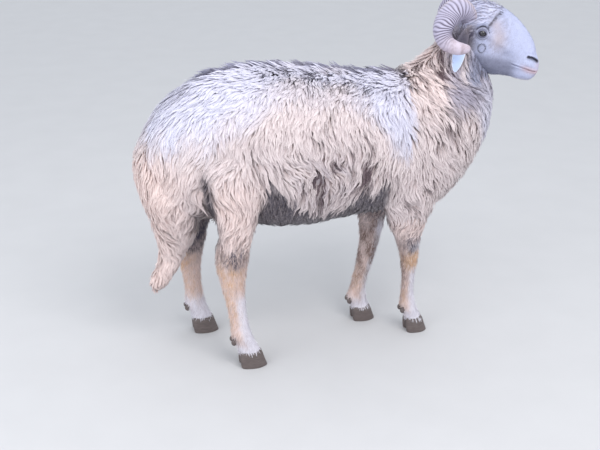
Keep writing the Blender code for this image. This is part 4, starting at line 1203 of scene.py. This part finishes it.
# Ear tag: a moulded leaf of pale blue plastic with a paler rim, a millimetre and a half
# thick, that hangs on the outside of the right ear.
TAG_DROP = 0.012
TAG_THICKNESS = 0.0016
TAG_BEVEL = 0.0005
TAG_RIM = 0.0026
TAG_WIDTHS = (0.84, 0.88, 0.88, 0.88, 0.84, 0.56)
tag_material, tree, shader = new_material("tag_plastic", 0.38)
place = object_place(tree)
scuffs = noise(tree, place, 120.0, 5.0, 0.6)
tag_colour = mixed(tree, scuffs, srgb(186, 206, 246), srgb(202, 218, 250))
rim = mark_of(tree, "rim")
tag_colour = mixed(tree, rim, tag_colour, srgb(232, 234, 246))
finish_surface(tree, shader, tag_colour, scuffs, 0.15, 0.0003)
tag_rows = smooth_rows(smooth_rows(EAR_LINE, 2)[4:10], 8)
tag_rows[:, 2] -= TAG_DROP * np.linspace(0, 1, len(tag_rows)) ** 1.5
tag_shares = smooth_rows([(w,) for w in TAG_WIDTHS], 8)[:, 0]


def tag_section(i, share):
    top_band = float(share < 0.16)
    half = tag_rows[i][3] * tag_shares[i]
    end = min(share, 1 - share)
    half *= math.sqrt(1 - (1 - min(end / 0.10, 1)) ** 2) * 0.9 + 0.1
    low = EAR_CUP * (tag_shares[i] ** 2 - 0.5) * tag_rows[i][3] / 0.02 + 0.0026
    edge, inner = half - TAG_BEVEL, max(half - TAG_RIM, 0.1 * half)
    front = [(-half, low + TAG_BEVEL), (-edge, low), (-inner, low), (inner, low), (edge, low),
             (half, low + TAG_BEVEL)]
    rim_share.extend([max(mark, top_band) for mark in (1, 1, 0, 0, 1, 1) * 2])
    return front + [(u, 2 * low + TAG_THICKNESS - v) for u, v in reversed(front)]


rim_share = []
tag_points, tag_faces = sweep_line(tag_rows[:, :3], tag_section, np.array([0.35, -1.0, 0.2]))
tag = new_piece("ear_tag_leaf", turned(tag_points), tag_faces, tag_material)
set_marks(tag.data, {"rim": rim_share})
crisp = tag.modifiers.new("crisp", "EDGE_SPLIT")
crisp.split_angle = math.radians(35)
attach(tag, "root")
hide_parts("ear_tag")


# Fleece: long open wool in flat tapering locks that lie over each other down the sides.
# Each lock is a bundle of thin wavy ribbons, rooted in the skin and drawn to one tip.
skin_tree = mesh_tree(skin_mesh)
skin_normals = normals_of(skin_mesh)

# How long and how deep the wool is at each point of the skin, evened out over the seams.
shell_points = []
shell_faces = []
face_facts = []
for shape_index, (word, rows, fullness, widest, wool) in enumerate(FORMS):
    loft_points, loft_faces = form_shells[shape_index]
    depths = smooth_rows(rows, BODY_STEPS)[:, 6]
    start = len(shell_points)
    shell_points += [tuple(p) for p in loft_points]
    for face in loft_faces:
        shell_faces.append(tuple(start + i for i in face))
        depth = depths[min(face[0] // BODY_SIDES, len(depths) - 1)]
        wool_here = wool * float(smooth_step(depth, 0.004, 0.020))
        face_facts.append((wool_here, SKIN_SHARE * depth, shape_index))
head_start = len(shell_points)
shell_points += [tuple(p) for p in points_of(head_mesh)]
head_face_start = len(shell_faces)
shell_faces += [tuple(head_start + i for i in p.vertices) for p in head_mesh.polygons]
form_tree = BVHTree.FromPolygons(shell_points, shell_faces)
wool_length = np.zeros(len(skin_points))
wool_depth = np.zeros(len(skin_points))
form_index = np.zeros(len(skin_points), int)
knot = topknot(unturned(skin_points))
for i, spot in enumerate(skin_points):
    found = form_tree.find_nearest(Vector(spot))[2]
    if found >= head_face_start:
        wool_length[i] = 0.030 * knot[i]
        wool_depth[i] = 0.0015 + 0.0085 * knot[i]
        form_index[i] = len(FORMS)
    else:
        wool_length[i], wool_depth[i], form_index[i] = face_facts[found]
skin_edges = edges_of(skin_mesh)
pair = np.stack([wool_length, wool_depth], axis=1)
for _ in range(14):
    pair = 0.4 * pair + 0.6 * neighbour_mean(pair, skin_edges, len(pair))
wool_length, wool_depth = pair.T
above_skirt = skirt_height(skin_points)
on_trunk = between_legs(skin_points) * (wool_length > 0.04)
wool_length = wool_length * (1 - 0.30 * on_trunk * smooth_step(-above_skirt, 0.0, 0.02))
wool_length = wool_length * (1 + 0.20 * on_trunk * np.exp(-((above_skirt - 0.025) / 0.025) ** 2))
wool_length = np.where(wool_length > 0.03, wool_length * (1 - 0.55 * cleft_share(skin_points)), wool_length)
wool_depth = wool_depth * (1 - 0.7 * cleft_share(skin_points))


def scatter(share, gap, seed):
    """Places on the skin at least a gap apart, where share (per point of the skin) is above a half."""
    rng = np.random.default_rng(seed)
    skin_mesh.calc_loop_triangles()
    triangles = np.empty(len(skin_mesh.loop_triangles) * 3, np.int32)
    skin_mesh.loop_triangles.foreach_get("vertices", triangles)
    triangles = triangles.reshape(-1, 3)
    triangles = triangles[share[triangles].mean(axis=1) > 0.5]
    a, b, c = (skin_points[triangles[:, i]] for i in range(3))
    area = 0.5 * np.linalg.norm(np.cross(b - a, c - a), axis=1)
    count = int(area.sum() / gap ** 2 * 4.5)
    pick = np.searchsorted(np.cumsum(area), rng.uniform(0, area.sum(), count))
    pick = np.clip(pick, 0, len(triangles) - 1)
    r1 = np.sqrt(rng.uniform(size=count))
    r2 = rng.uniform(size=count)
    weights = np.stack([1 - r1, r1 * (1 - r2), r1 * r2], axis=1)
    spots = (weights[:, :, None] * skin_points[triangles[pick]]).sum(axis=1)
    cells = {}
    kept = []
    keys = np.floor(spots / gap).astype(int)
    for i in range(count):
        kx, ky, kz = keys[i]
        x, y, z = spots[i]
        clear = True
        for ax in (kx - 1, kx, kx + 1):
            for ay in (ky - 1, ky, ky + 1):
                for az in (kz - 1, kz, kz + 1):
                    for ox, oy, oz in cells.get((ax, ay, az), ()):
                        if (ox - x) ** 2 + (oy - y) ** 2 + (oz - z) ** 2 < gap * gap:
                            clear = False
        if clear:
            cells.setdefault((kx, ky, kz), []).append((x, y, z))
            kept.append(i)
    return spots[kept], triangles[pick[kept]], weights[kept]


def at_roots(values, corners, weights):
    """Values of the skin's points, worked out at roots between them."""
    if values.ndim == 1:
        return (values[corners] * weights).sum(axis=1)
    return (values[corners] * weights[:, :, None]).sum(axis=1)


def unit(vectors):
    return vectors / np.maximum(np.linalg.norm(vectors, axis=-1, keepdims=True), 1e-9)


def wool_contrast(points):
    """How strongly locks painted with the shade of partings and roots alternate with light ones: little on
    rump and back, much on the sides.
    """
    x, y, z = points.T
    strong = 0.34 - 0.30 * smooth_step(z, 0.64, 0.76)
    strong = np.maximum(strong, 1.00 * bump_at(x, 0.165, 0.075) * bump_at(z, 0.570, 0.110))
    strong = np.maximum(strong, 1.00 * bump_at(x, 0.060, 0.120) * bump_at(z, 0.560, 0.110))
    strong = np.maximum(strong, 0.65 * bump_at(x, 0.120, 0.110) * bump_at(z, 0.670, 0.075))
    strong = np.maximum(strong, 0.52 * smooth_step(x, 0.320, 0.350))
    strong = np.maximum(strong, 0.95 * bump_at(x, 0.435, 0.060) * bump_at(z, 0.820, 0.080))
    strong = np.maximum(strong, 0.45 * smooth_step(0.60 - z, 0.0, 0.12))
    strong = np.maximum(strong, 0.38 * smooth_step(-0.33 - x, 0.0, 0.06) * smooth_step(0.66 - z, 0.0, 0.06))
    strong *= 1 - 0.45 * smooth_step(-0.27 - x, 0.0, 0.05)
    return np.clip(strong * (0.85 + 0.30 * ripple(points, 0.09, 61)), 0, 1)


# The way the wool lies: how far it leans back (-) or forward (+) for each step down.
LEAN = ((-0.46, -0.10), (-0.36, -0.35), (-0.24, -0.38), (-0.14, -0.10), (-0.06, 0.22), (0.02, 0.10),
        (0.10, -0.05), (0.22, -0.08), (0.30, 0.02), (0.34, 0.30), (0.44, 0.50), (0.60, 0.40))


def wool_way(points, normals):
    """Which way the wool lies at each point, along the skin."""
    x, y, z = points.T
    table = np.array(LEAN)
    lean = np.interp(x, table[:, 0], table[:, 1])
    on_leg = smooth_step(0.47 - z, 0.0, 0.08)
    lean = lean * (1 - on_leg) - 0.12 * on_leg
    lean -= 0.75 * smooth_step(z - np.interp(x, (-0.4, 0.3, 0.4, 0.6), (0.70, 0.74, 0.90, 1.1)), -0.06, 0.06)
    side = np.clip(y / 0.05, -1, 1)
    way = np.stack([lean, 0.45 * side, np.full(len(x), -1.0)], axis=1)
    head = unturned(points)
    on_head = smooth_step(head[:, 0], 0.495, 0.525) * smooth_step(head[:, 2], 0.870, 0.910)
    combed_back = turned(np.array([-0.95, 0.0, -0.45]) + HEAD_PIVOT) - HEAD_PIVOT
    way = way * (1 - on_head)[:, None] + on_head[:, None] * (combed_back + (0, 0.25, 0) * side[:, None])
    way = unit(way - normals * (way * normals).sum(axis=1)[:, None])
    swirl = np.exp(-((x - 0.045) / 0.085) ** 2 - ((z - 0.585) / 0.085) ** 2)
    whorl = np.exp(-((x - 0.345) / 0.030) ** 2 - ((z - 0.740) / 0.060) ** 2)
    tail_gap = np.exp(-((x + 0.28) / 0.06) ** 2 - ((z - 0.49) / 0.09) ** 2)
    tail_end = smooth_step(-0.27 - x, 0.0, 0.05) * smooth_step(0.44 - z, 0.0, 0.06)
    tail_lobe = smooth_step(-0.29 - x, 0.0, 0.05) * smooth_step(0.56 - z, 0.0, 0.06) * (1 - tail_end)
    turn = (0.30 * ripple(points, 0.17, 21) + 0.26 * ripple(points, 0.065, 22)
            + 0.55 * swirl * ripple(points, 0.070, 23) + 0.55 * swirl * ripple(points, 0.030, 28)
            + 0.90 * tail_gap * ripple(points, 0.05, 24)
            + 0.9 * whorl * ripple(points, 0.06, 25)
            + (0.38 * tail_lobe + 0.42 * tail_end) * (ripple(points, 0.045, 26) + 0.5)
            + 0.50 * on_head * ripple(points, 0.022, 27))
    across = np.cross(normals, way)
    return way * np.cos(turn)[:, None] + across * np.sin(turn)[:, None]


def drape(roots, normals, ways, lengths, heights, knots, way_at):
    """Paths from the roots along the skin that rise to the given heights at their tips."""
    path = [roots]
    ups = [normals]
    spot = roots.copy()
    up = normals.copy()
    way = ways.copy()
    for k in range(1, knots):
        share = k / (knots - 1)
        ahead = spot + way * (lengths / (knots - 1))[:, None]
        surface = np.empty_like(spot)
        for i in range(len(spot)):
            hit = skin_tree.find_nearest(Vector(ahead[i]))
            surface[i] = hit[0]
            up[i] = hit[1]
        spot = surface
        way = 0.5 * way + 0.5 * way_at(spot, up)
        way = unit(way - up * (way * up).sum(axis=1)[:, None])
        path.append(spot + up * (heights * share ** 0.75)[:, None])
        ups.append(up.copy())
    return np.stack(path, axis=1), np.stack(ups, axis=1)


def ribbons(path, ups, widths, rolls):
    """A tapering ribbon along each path: its points, and how far along it each of them lies.

    Widths give one width for each knot but the last, where the ribbon ends in a point."""
    count, knots, _ = path.shape
    ahead = np.empty_like(path)
    ahead[:, 1:-1] = path[:, 2:] - path[:, :-2]
    ahead[:, 0] = path[:, 1] - path[:, 0]
    ahead[:, -1] = path[:, -1] - path[:, -2]
    ahead = unit(ahead)
    across = unit(np.cross(ahead, ups))
    rise = np.cross(across, ahead)
    across = across * np.cos(rolls)[:, None, None] + rise * np.sin(rolls)[:, None, None]
    half = 0.5 * widths[:, :, None]
    left = path[:, :-1] - across[:, :-1] * half
    right = path[:, :-1] + across[:, :-1] * half
    points = np.empty((count, 2 * knots - 1, 3))
    points[:, 0:-1:2] = left
    points[:, 1:-1:2] = right
    points[:, -1] = path[:, -1]
    shares = np.empty(2 * knots - 1)
    shares[0:-1:2] = np.arange(knots - 1) / (knots - 1)
    shares[1:-1:2] = shares[0:-1:2]
    shares[-1] = 1.0
    return points, shares


def ribbon_mesh(name, points, knots):
    """A mesh of ribbons that all have the same number of knots, and its faces' corners."""
    count, per, _ = points.shape
    quads = knots - 2
    base = (np.arange(count) * per)[:, None]
    quad = np.array([[2 * k, 2 * k + 1, 2 * k + 3, 2 * k + 2] for k in range(quads)]).reshape(-1)
    last = np.array([2 * quads, 2 * quads + 1, 2 * quads + 2])
    loops = (base + np.concatenate([quad, last])[None, :]).reshape(-1)
    sizes = np.tile(np.array([4] * quads + [3]), count)
    starts = np.concatenate([[0], np.cumsum(sizes)[:-1]])
    mesh = bpy.data.meshes.new(name)
    mesh.vertices.add(count * per)
    mesh.vertices.foreach_set("co", points.reshape(-1))
    mesh.loops.add(len(loops))
    mesh.loops.foreach_set("vertex_index", loops.astype(np.int32))
    mesh.polygons.add(len(sizes))
    mesh.polygons.foreach_set("loop_start", starts.astype(np.int32))
    mesh.polygons.foreach_set("use_smooth", np.ones(len(sizes), bool))
    mesh.update(calc_edges=True)
    return mesh, loops


def coat_piece(name, points, knots, facing, seen, owners, shares, tone_and_shade, material, wide, tall):
    """A piece of the coat. Each tuft's patch of the OFBake map lies at its root's place on
    the skin unrolled round the animal: wide and tall give that place for every root.
    A tuft takes its marks and painted shade from the spot where it is seen, and faces as the
    body does there, so that it is lit as softly as wool is."""
    mesh, loops = ribbon_mesh(name, points, knots)
    per = points.shape[1]
    edge = np.zeros(per)
    edge[1:-1:2] = 1.0
    edge[-1] = 0.5
    u = wide[owners][:, None] + 0.003 * (edge[None, :] - 0.5)
    v = tall[owners][:, None] + 0.003 * (shares[None, :] - 0.5)
    flat = np.stack([np.broadcast_to(u, v.shape), v], axis=-1).reshape(-1, 2)
    layer = mesh.uv_layers.new(name="OFBake")
    layer.uv.foreach_set("vector", flat[loops].reshape(-1).astype(np.float32))
    strength = {mark: np.repeat(value[owners], per) for mark, value in markings_and_shade(seen).items()}
    strength["contrast"] = np.repeat(wool_contrast(seen)[owners], per)
    strength["along"] = np.tile(shares, len(points))
    strength["tint"] = np.repeat(tone_and_shade, per)
    set_marks(mesh, strength)
    mesh.materials.append(material)
    facing = np.concatenate([np.repeat(facing[:, :-1], 2, axis=1), facing[:, -1:]], axis=1)
    mesh.normals_split_custom_set_from_vertices(unit(facing).reshape(-1, 3))
    piece = place_object(name, mesh)
    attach(piece, "root")


def unrolled(points, low, high, upright):
    """Places in the unit square: round the form's axis, and along it."""
    x, y, z = points.T
    if upright:
        round_share = 0.5 + np.arctan2(y - y.mean(), x - x.mean()) / (2 * np.pi)
        along = (z - low) / (high - low)
    else:
        round_share = 0.5 + np.arctan2(y, z - 0.60) / (2 * np.pi)
        along = (x - low) / (high - low)
    return 0.005 + 0.99 * np.clip(round_share, 0, 1), 0.005 + 0.99 * np.clip(along, 0, 1)


wool_material, tree, shader = new_material("fleece_wool", 0.9)
place = object_place(tree)
colour = marked_and_shaded_colour(tree, place)
along = mark_of(tree, "along")
tint = mark_of(tree, "tint")
contrast = mark_of(tree, "contrast")
# Each ribbon darkens towards its root, most where the locks part strongly: partly dirtier wool near the skin,
# partly painted shade deep in the fleece.
rooted = (1 - along.between(0.05, 0.75)) * (0.16 + contrast * 0.55)
colour = mixed(tree, rooted, colour, srgb(196, 174, 166), "MULTIPLY")
# Painted shade of the partings: ribbons of locks in a parting are darkened, and all of them a little at
# random.
colour = mixed(tree, tint, colour, srgb(112, 98, 106), "MULTIPLY")
finish_surface(tree, shader, colour, noise(tree, place, 1400.0, 2.0, 0.6), 0.3, 0.0004)
shader.inputs["Sheen Weight"].default_value = 0.25
shader.inputs["Sheen Roughness"].default_value = 0.5

LOCK_GAP = 0.0070
LOCK_KNOTS = 7
LOCK_RIBBONS = 6
FAN_ANGLE = 78
WAVE_LENGTH = (0.026, 0.042)
WAVE_SWING = (0.0016, 0.0034)
RIBBON_WIDTH = 0.0023
BUNDLE_RADIUS = 0.0032
STAPLE_GAP = 0.0130
TUFT_GAP = 0.0280
SPREAD_ALONG = np.array([0.75, 1.0, 1.05, 0.95, 0.80, 0.58, 0.32])
WIDTH_ALONG = np.array([0.85, 1.0, 1.0, 0.92, 0.75, 0.48])

PARTING_STEP = 0.011
PARTING_ROUNDS = 5


def point_tree(points, members):
    """Finds the nearest of the members among some points."""
    tree = KDTree(len(members))
    for i in members:
        tree.insert(Vector(points[i]), int(i))
    tree.balance()
    return tree


def nearest(tree, points):
    return np.array([tree.find(Vector(spot))[1] for spot in points])


rng = np.random.default_rng(5)
woolly = (wool_length > 0.018) & (cleft_share(skin_points) < 0.60)
lock_roots, corners, weights = scatter(woolly.astype(float), LOCK_GAP, 31)
upper = (skin_normals[:, 2] > 0.45) & (skin_points[:, 2] > 0.66) & (skin_points[:, 0] < 0.40) & woolly
under_roots, under_corners, under_weights = scatter(upper.astype(float), LOCK_GAP * 1.05, 33)
undercoat = np.arange(len(lock_roots) + len(under_roots)) >= len(lock_roots)
lock_roots = np.concatenate([lock_roots, under_roots])
corners = np.concatenate([corners, under_corners])
weights = np.concatenate([weights, under_weights])
lock_normals = unit(at_roots(skin_normals, corners, weights))
lock_length = at_roots(wool_length, corners, weights)
lock_depth = at_roots(wool_depth, corners, weights)
lock_form = form_index[corners[:, 0]]
count = len(lock_roots)
lock_ways = wool_way(lock_roots, lock_normals)

# Partings: a random darkness, evened out along the way the wool lies, so that locks painted
# with the shade of a parting line up into the combed lines and curls between the light ones.
root_tree = point_tree(lock_roots, range(count))
after = nearest(root_tree, lock_roots + lock_ways * PARTING_STEP)
before = nearest(root_tree, lock_roots - lock_ways * PARTING_STEP)
darkness = rng.uniform(0, 1, count)
for _ in range(PARTING_ROUNDS):
    darkness = (darkness + darkness[after] + darkness[before]) / 3
darkness = np.argsort(np.argsort(darkness)) / count
contrast = wool_contrast(lock_roots)
dark_part = 0.10 + 0.34 * contrast
parted = smooth_step(darkness, 1 - dark_part - 0.08, 1 - dark_part + 0.08)

x, y, z = lock_roots.T
top = smooth_step(lock_normals[:, 2], 0.70, 0.97) * smooth_step(z, 0.70, 0.78) * (x < 0.36)
top *= smooth_step(x, -0.30, -0.16)
turned_out = smooth_step(lock_normals[:, 2], 0.62, 0.96) * smooth_step(z, 0.68, 0.75) * (x < 0.36)
turned_out *= smooth_step(x, -0.26, -0.12)
curly = np.exp(-((x - 0.045) / 0.10) ** 2 - ((z - 0.58) / 0.09) ** 2)
underside = smooth_step(-lock_normals[:, 2], 0.3, 0.8)
lock_length = lock_length * rng.uniform(0.80, 1.15, count) * (1 - 0.25 * curly) * (1 - 0.25 * top)
lock_length *= 1 - 0.15 * parted
tip_height = lock_depth - 0.003 + rng.uniform(-0.0035, 0.0045, count) - 0.004 * parted * contrast
standing = top * np.clip(ripple(lock_roots, 0.040, 41) + 0.3, 0, 1)
tip_height += 0.014 * standing * (1 - 0.5 * undercoat)
lock_length = np.where(undercoat, lock_length * 0.75, lock_length)
tip_height = np.where(undercoat, tip_height * (0.80 + 0.17 * top), tip_height)
tip_height = tip_height * (1 - 0.75 * underside) + underside * rng.uniform(-0.004, 0.010, count)
path, ups = drape(lock_roots - lock_normals * 0.002, lock_normals, lock_ways, lock_length, tip_height,
                  LOCK_KNOTS, wool_way)
shares = np.linspace(0, 1, LOCK_KNOTS)
ahead = unit(np.gradient(path, axis=1))
across = unit(np.cross(ahead, ups))
waves = lock_length / rng.uniform(*WAVE_LENGTH, count) * (1 + 0.35 * curly)
swing = rng.uniform(*WAVE_SWING, count) * (1 + 0.9 * curly)
phase = rng.uniform(0, 2 * np.pi, count)
ramp = np.clip(shares * 2.2, 0, 1)

# Neighbouring light locks draw together towards their tips, as staples of wool do, and
# the tufts that stand on the back gather more of them.
staple_of = np.zeros(count, int)
for gap, tufted in ((STAPLE_GAP, False), (TUFT_GAP, True)):
    heads = []
    taken = set()
    for i in rng.permutation(count):
        key = tuple(np.floor(lock_roots[i] / gap).astype(int))
        if key not in taken and parted[i] < 0.5 and not undercoat[i]:
            taken.add(key)
            heads.append(i)
    found = nearest(point_tree(lock_roots, heads), lock_roots)
    staple_of = np.where((standing > 0.25) == tufted, found, staple_of)
pull = ((0.25 + 0.50 * contrast) * (1 - 0.7 * parted))[:, None] * shares[None, :] ** 1.3
pull = np.where(standing[:, None] > 0.25, 0.46 * shares[None, :] ** 1.6, pull)
path = path + (path[staple_of] - path) * pull[:, :, None]
waves = waves[staple_of]
phase = phase[staple_of] + rng.uniform(-0.5, 0.5, count)
turns = 2 * np.pi * shares[None, :] * waves[:, None]
side_wave = swing[:, None] * ramp * np.sin(turns + phase[:, None])
up_wave = 0.5 * swing[:, None] * ramp * np.cos(turns * 1.1 + phase[:, None])
path = path + across * side_wave[:, :, None] + ups * up_wave[:, :, None]

# Each lock's ribbons stand round its path and close in towards its frayed tip.
lock_scale = np.clip(lock_length / 0.055, 0.45, 1.1) * (1 - 0.32 * parted)
all_points = []
all_facing = []
all_owner = []
ribbon_shade_and_tone = []
light_tint = (1 - parted) * rng.uniform(0.0, 0.20, count) * (0.4 + contrast)
# A lock in a parting gets painted shade; the light locks vary a little at random.
parting_shade_and_tone = parted * (0.05 + 0.95 * contrast) + light_tint
tip_spot = path[:, int(0.7 * LOCK_KNOTS)]
roll_share = 0.60 - 0.48 * smooth_step(lock_normals[:, 2], 0.2, 0.8)
for r in range(LOCK_RIBBONS):
    fan = -FAN_ANGLE + 2 * FAN_ANGLE * r / (LOCK_RIBBONS - 1)
    angle = math.radians(fan) + rng.uniform(-0.22, 0.22, count)
    reach = rng.uniform(0.70, 1.0, count)
    along = shares[None, :] * reach[:, None] * (LOCK_KNOTS - 1)
    low = np.minimum(np.floor(along).astype(int), LOCK_KNOTS - 2)
    part = (along - low)[:, :, None]
    row = np.arange(count)[:, None]
    own = path[row, low] * (1 - part) + path[row, low + 1] * part
    own_up = unit(ups[row, low] * (1 - part) + ups[row, low + 1] * part)
    own_ahead = unit(np.gradient(own, axis=1))
    own_across = unit(np.cross(own_ahead, own_up))
    own_rise = np.cross(own_across, own_ahead)
    spread = (BUNDLE_RADIUS * lock_scale * rng.uniform(0.85, 1.2, count))[:, None] * SPREAD_ALONG
    own = own + own_across * (spread * np.sin(angle)[:, None])[:, :, None]
    own = own + own_rise * (0.55 * spread * np.cos(angle)[:, None])[:, :, None]
    full_width = RIBBON_WIDTH * lock_scale * (1 + 0.5 * top) * rng.uniform(0.8, 1.25, count)
    widths = full_width[:, None] * WIDTH_ALONG
    # On the back ribbons roll outwards, so that their lit faces show and not their undersides.
    toward = np.clip(4 * own_across[:, :, 1].mean(axis=1) * np.sign(y), -1, 1)
    points, ribbon_shares = ribbons(own, own_rise, widths, -angle * roll_share - 0.85 * turned_out * toward)
    all_points.append(points)
    own_facing = own_up * (1 - 0.65 * turned_out)[:, None, None]
    own_facing = own_facing + (0, 1, 0) * (0.90 * turned_out * np.sign(y))[:, None, None]
    all_facing.append(own_facing + 0.30 * own_across * np.sin(angle)[:, None, None] + 0.20 * own_rise)
    all_owner.append(np.arange(count))
    ribbon_shade_and_tone.append(np.clip(parting_shade_and_tone + (0.10 + 0.30 * contrast) * rng.uniform(-0.5, 0.8, count), 0, 1))
all_points = np.concatenate(all_points)
all_facing = np.concatenate(all_facing)
all_owner = np.concatenate(all_owner)
ribbon_shade_and_tone = np.concatenate(ribbon_shade_and_tone)

torso = lock_form == 0
GROUPS = [("fleece_neck", lock_form == 1, True, 0.40, 0.96),
          ("fleece_tail", lock_form == 2, True, 0.18, 0.72),
          ("fleece_thigh_right", lock_form == 3, True, 0.28, 0.72),
          ("fleece_thigh_left", lock_form == 4, True, 0.28, 0.72),
          ("fleece_forearm_right", lock_form == 5, True, 0.26, 0.60),
          ("fleece_forearm_left", lock_form == 6, True, 0.26, 0.60),
          ("fleece_topknot", lock_form == len(FORMS), True, 0.88, 1.02)]
for part_word, rear, front in (("rear", -0.45, -0.12), ("middle", -0.12, 0.14), ("front", 0.14, 0.55)):
    here = torso & (x >= rear) & (x < front)
    GROUPS.append(("fleece_right_" + part_word, here & (y < 0), False, rear, front))
    GROUPS.append(("fleece_left_" + part_word, here & (y >= 0), False, rear, front))
for name, chosen, upright, low, high in GROUPS:
    members = np.flatnonzero(chosen)
    renumber = np.full(count, -1)
    renumber[members] = np.arange(len(members))
    mine = chosen[all_owner]
    wide, tall = unrolled(lock_roots[members], low, high, upright)
    coat_piece(name, all_points[mine], LOCK_KNOTS, all_facing[mine], tip_spot[members],
               renumber[all_owner[mine]], ribbon_shares, ribbon_shade_and_tone[mine], wool_material, wide, tall)


# Short hair: fine flat hairs on face, ears and lower legs that lie close to the skin and
# break its outline, shortest on the muzzle and round the eyes.
HAIR_GAP = 0.0034
HAIR_KNOTS = 3
hair_roots, corners, weights = scatter((wool_length <= 0.024).astype(float), HAIR_GAP, 32)
hair_normals = unit(at_roots(skin_normals, corners, weights))
hair_wool = at_roots(wool_length, corners, weights)
straight = unturned(hair_roots)
folded = on_right(straight)
on_head = smooth_step(straight[:, 0], 0.485, 0.510) * smooth_step(straight[:, 2], 0.760, 0.780)
bare = painted_face_shade(folded) * on_head
dx = folded[:, 0] - EYE[0]
dz = folded[:, 2] - EYE[2]
bare = np.maximum(bare, on_head * (np.hypot(dx / 1.15, dz) < 0.0125))
bare = np.maximum(bare, on_head * smooth_step(straight[:, 0], 0.722, 0.730) * (straight[:, 2] > 0.800))
keep = (bare < 0.30) & ((straight[:, 2] > 0.872) | (np.abs(straight[:, 1]) < 0.088) | (on_head < 0.5))
hair_roots, hair_normals, hair_wool = hair_roots[keep], hair_normals[keep], hair_wool[keep]
straight, on_head = straight[keep], on_head[keep]
count = len(hair_roots)
muzzle = smooth_step(straight[:, 0], 0.60, 0.72) * on_head
cheek = on_head * smooth_step(0.850 - straight[:, 2], 0.0, 0.05)
cheek *= smooth_step(0.60 - straight[:, 0], 0.0, 0.04)
# The hair is 8.5 mm long on the face, shorter on the muzzle, and longer on cheeks and legs.
hair_length = 0.0085 - 0.0035 * muzzle + 0.006 * cheek + 0.35 * hair_wool + 0.0050 * (1 - on_head)
hair_length *= rng.uniform(0.75, 1.25, count)
head_way = np.stack([np.full(count, -0.80), -0.15 * np.sign(straight[:, 1]), np.full(count, -0.45)],
                    axis=1)
away = np.stack([straight[:, 0] - EYE[0], np.zeros(count), straight[:, 2] - EYE[2]], axis=1)
close = np.exp(-(np.linalg.norm(away, axis=1) / 0.020) ** 2)
head_way += 2.0 * close[:, None] * unit(away)
turned_way = turned(head_way + HEAD_PIVOT) - HEAD_PIVOT
leg_way = np.array([-0.10, 0.0, -1.0])
hair_way = on_head[:, None] * turned_way + (1 - on_head)[:, None] * leg_way
hair_way = unit(hair_way - hair_normals * (hair_way * hair_normals).sum(axis=1)[:, None])
turn = 0.35 * ripple(hair_roots, 0.03, 51) + rng.uniform(-0.25, 0.25, count)
hair_way = hair_way * np.cos(turn)[:, None] + np.cross(hair_normals, hair_way) * np.sin(turn)[:, None]
lift = (0.0012 + 0.14 * hair_length + 0.0026 * (1 - on_head)) * rng.uniform(0.5, 1.3, count)
shares = np.linspace(0, 1, HAIR_KNOTS)
path = (hair_roots[:, None, :] - 0.0006 * hair_normals[:, None, :]
        + hair_way[:, None, :] * (hair_length[:, None] * shares)[:, :, None]
        + hair_normals[:, None, :] * (lift[:, None] * shares ** 0.8)[:, :, None])
ups = np.repeat(hair_normals[:, None, :], HAIR_KNOTS, axis=1)
widths = (0.0016 + 0.05 * hair_length)[:, None] * np.array([0.9, 0.7])
points, hair_shares = ribbons(path, ups, widths, rng.uniform(-0.5, 0.5, count))
hair_material, tree, shader = new_material("short_hair", 0.8)
place = object_place(tree)
colour = marked_and_shaded_colour(tree, place)
along = mark_of(tree, "along")
tint = mark_of(tree, "tint")
# Hairs darken a little at random and towards their roots: partly dirtier hair near the skin, partly painted
# shade.
colour = mixed(tree, tint * 0.35 + (1 - along) * 0.25, colour, srgb(160, 148, 150), "MULTIPLY")
finish_surface(tree, shader, colour)
head_hair = on_head > 0.5
for name, slot_name, chosen, places, upright, low, high in (
        ("hair_head", "face", head_hair, straight - (0, 0, 0.29), False, 0.44, 0.76),
        ("hair_legs", "leg_hair", ~head_hair, hair_roots, True, 0.0, 0.75)):
    members = np.flatnonzero(chosen)
    wide, tall = unrolled(places[members], low, high, upright)
    coat_piece(name, points[members], HAIR_KNOTS, ups[members], hair_roots[members],
               np.arange(len(members)), hair_shares, rng.uniform(0, 1, len(members)), hair_material,
               wide, tall)


# Size: the solids' box and the dressed ram's box, side by side in one table.
bpy.context.view_layer.update()
size = {"cad": [list(corner) for corner in cad_bounds], "visual": [list(corner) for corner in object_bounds()]}
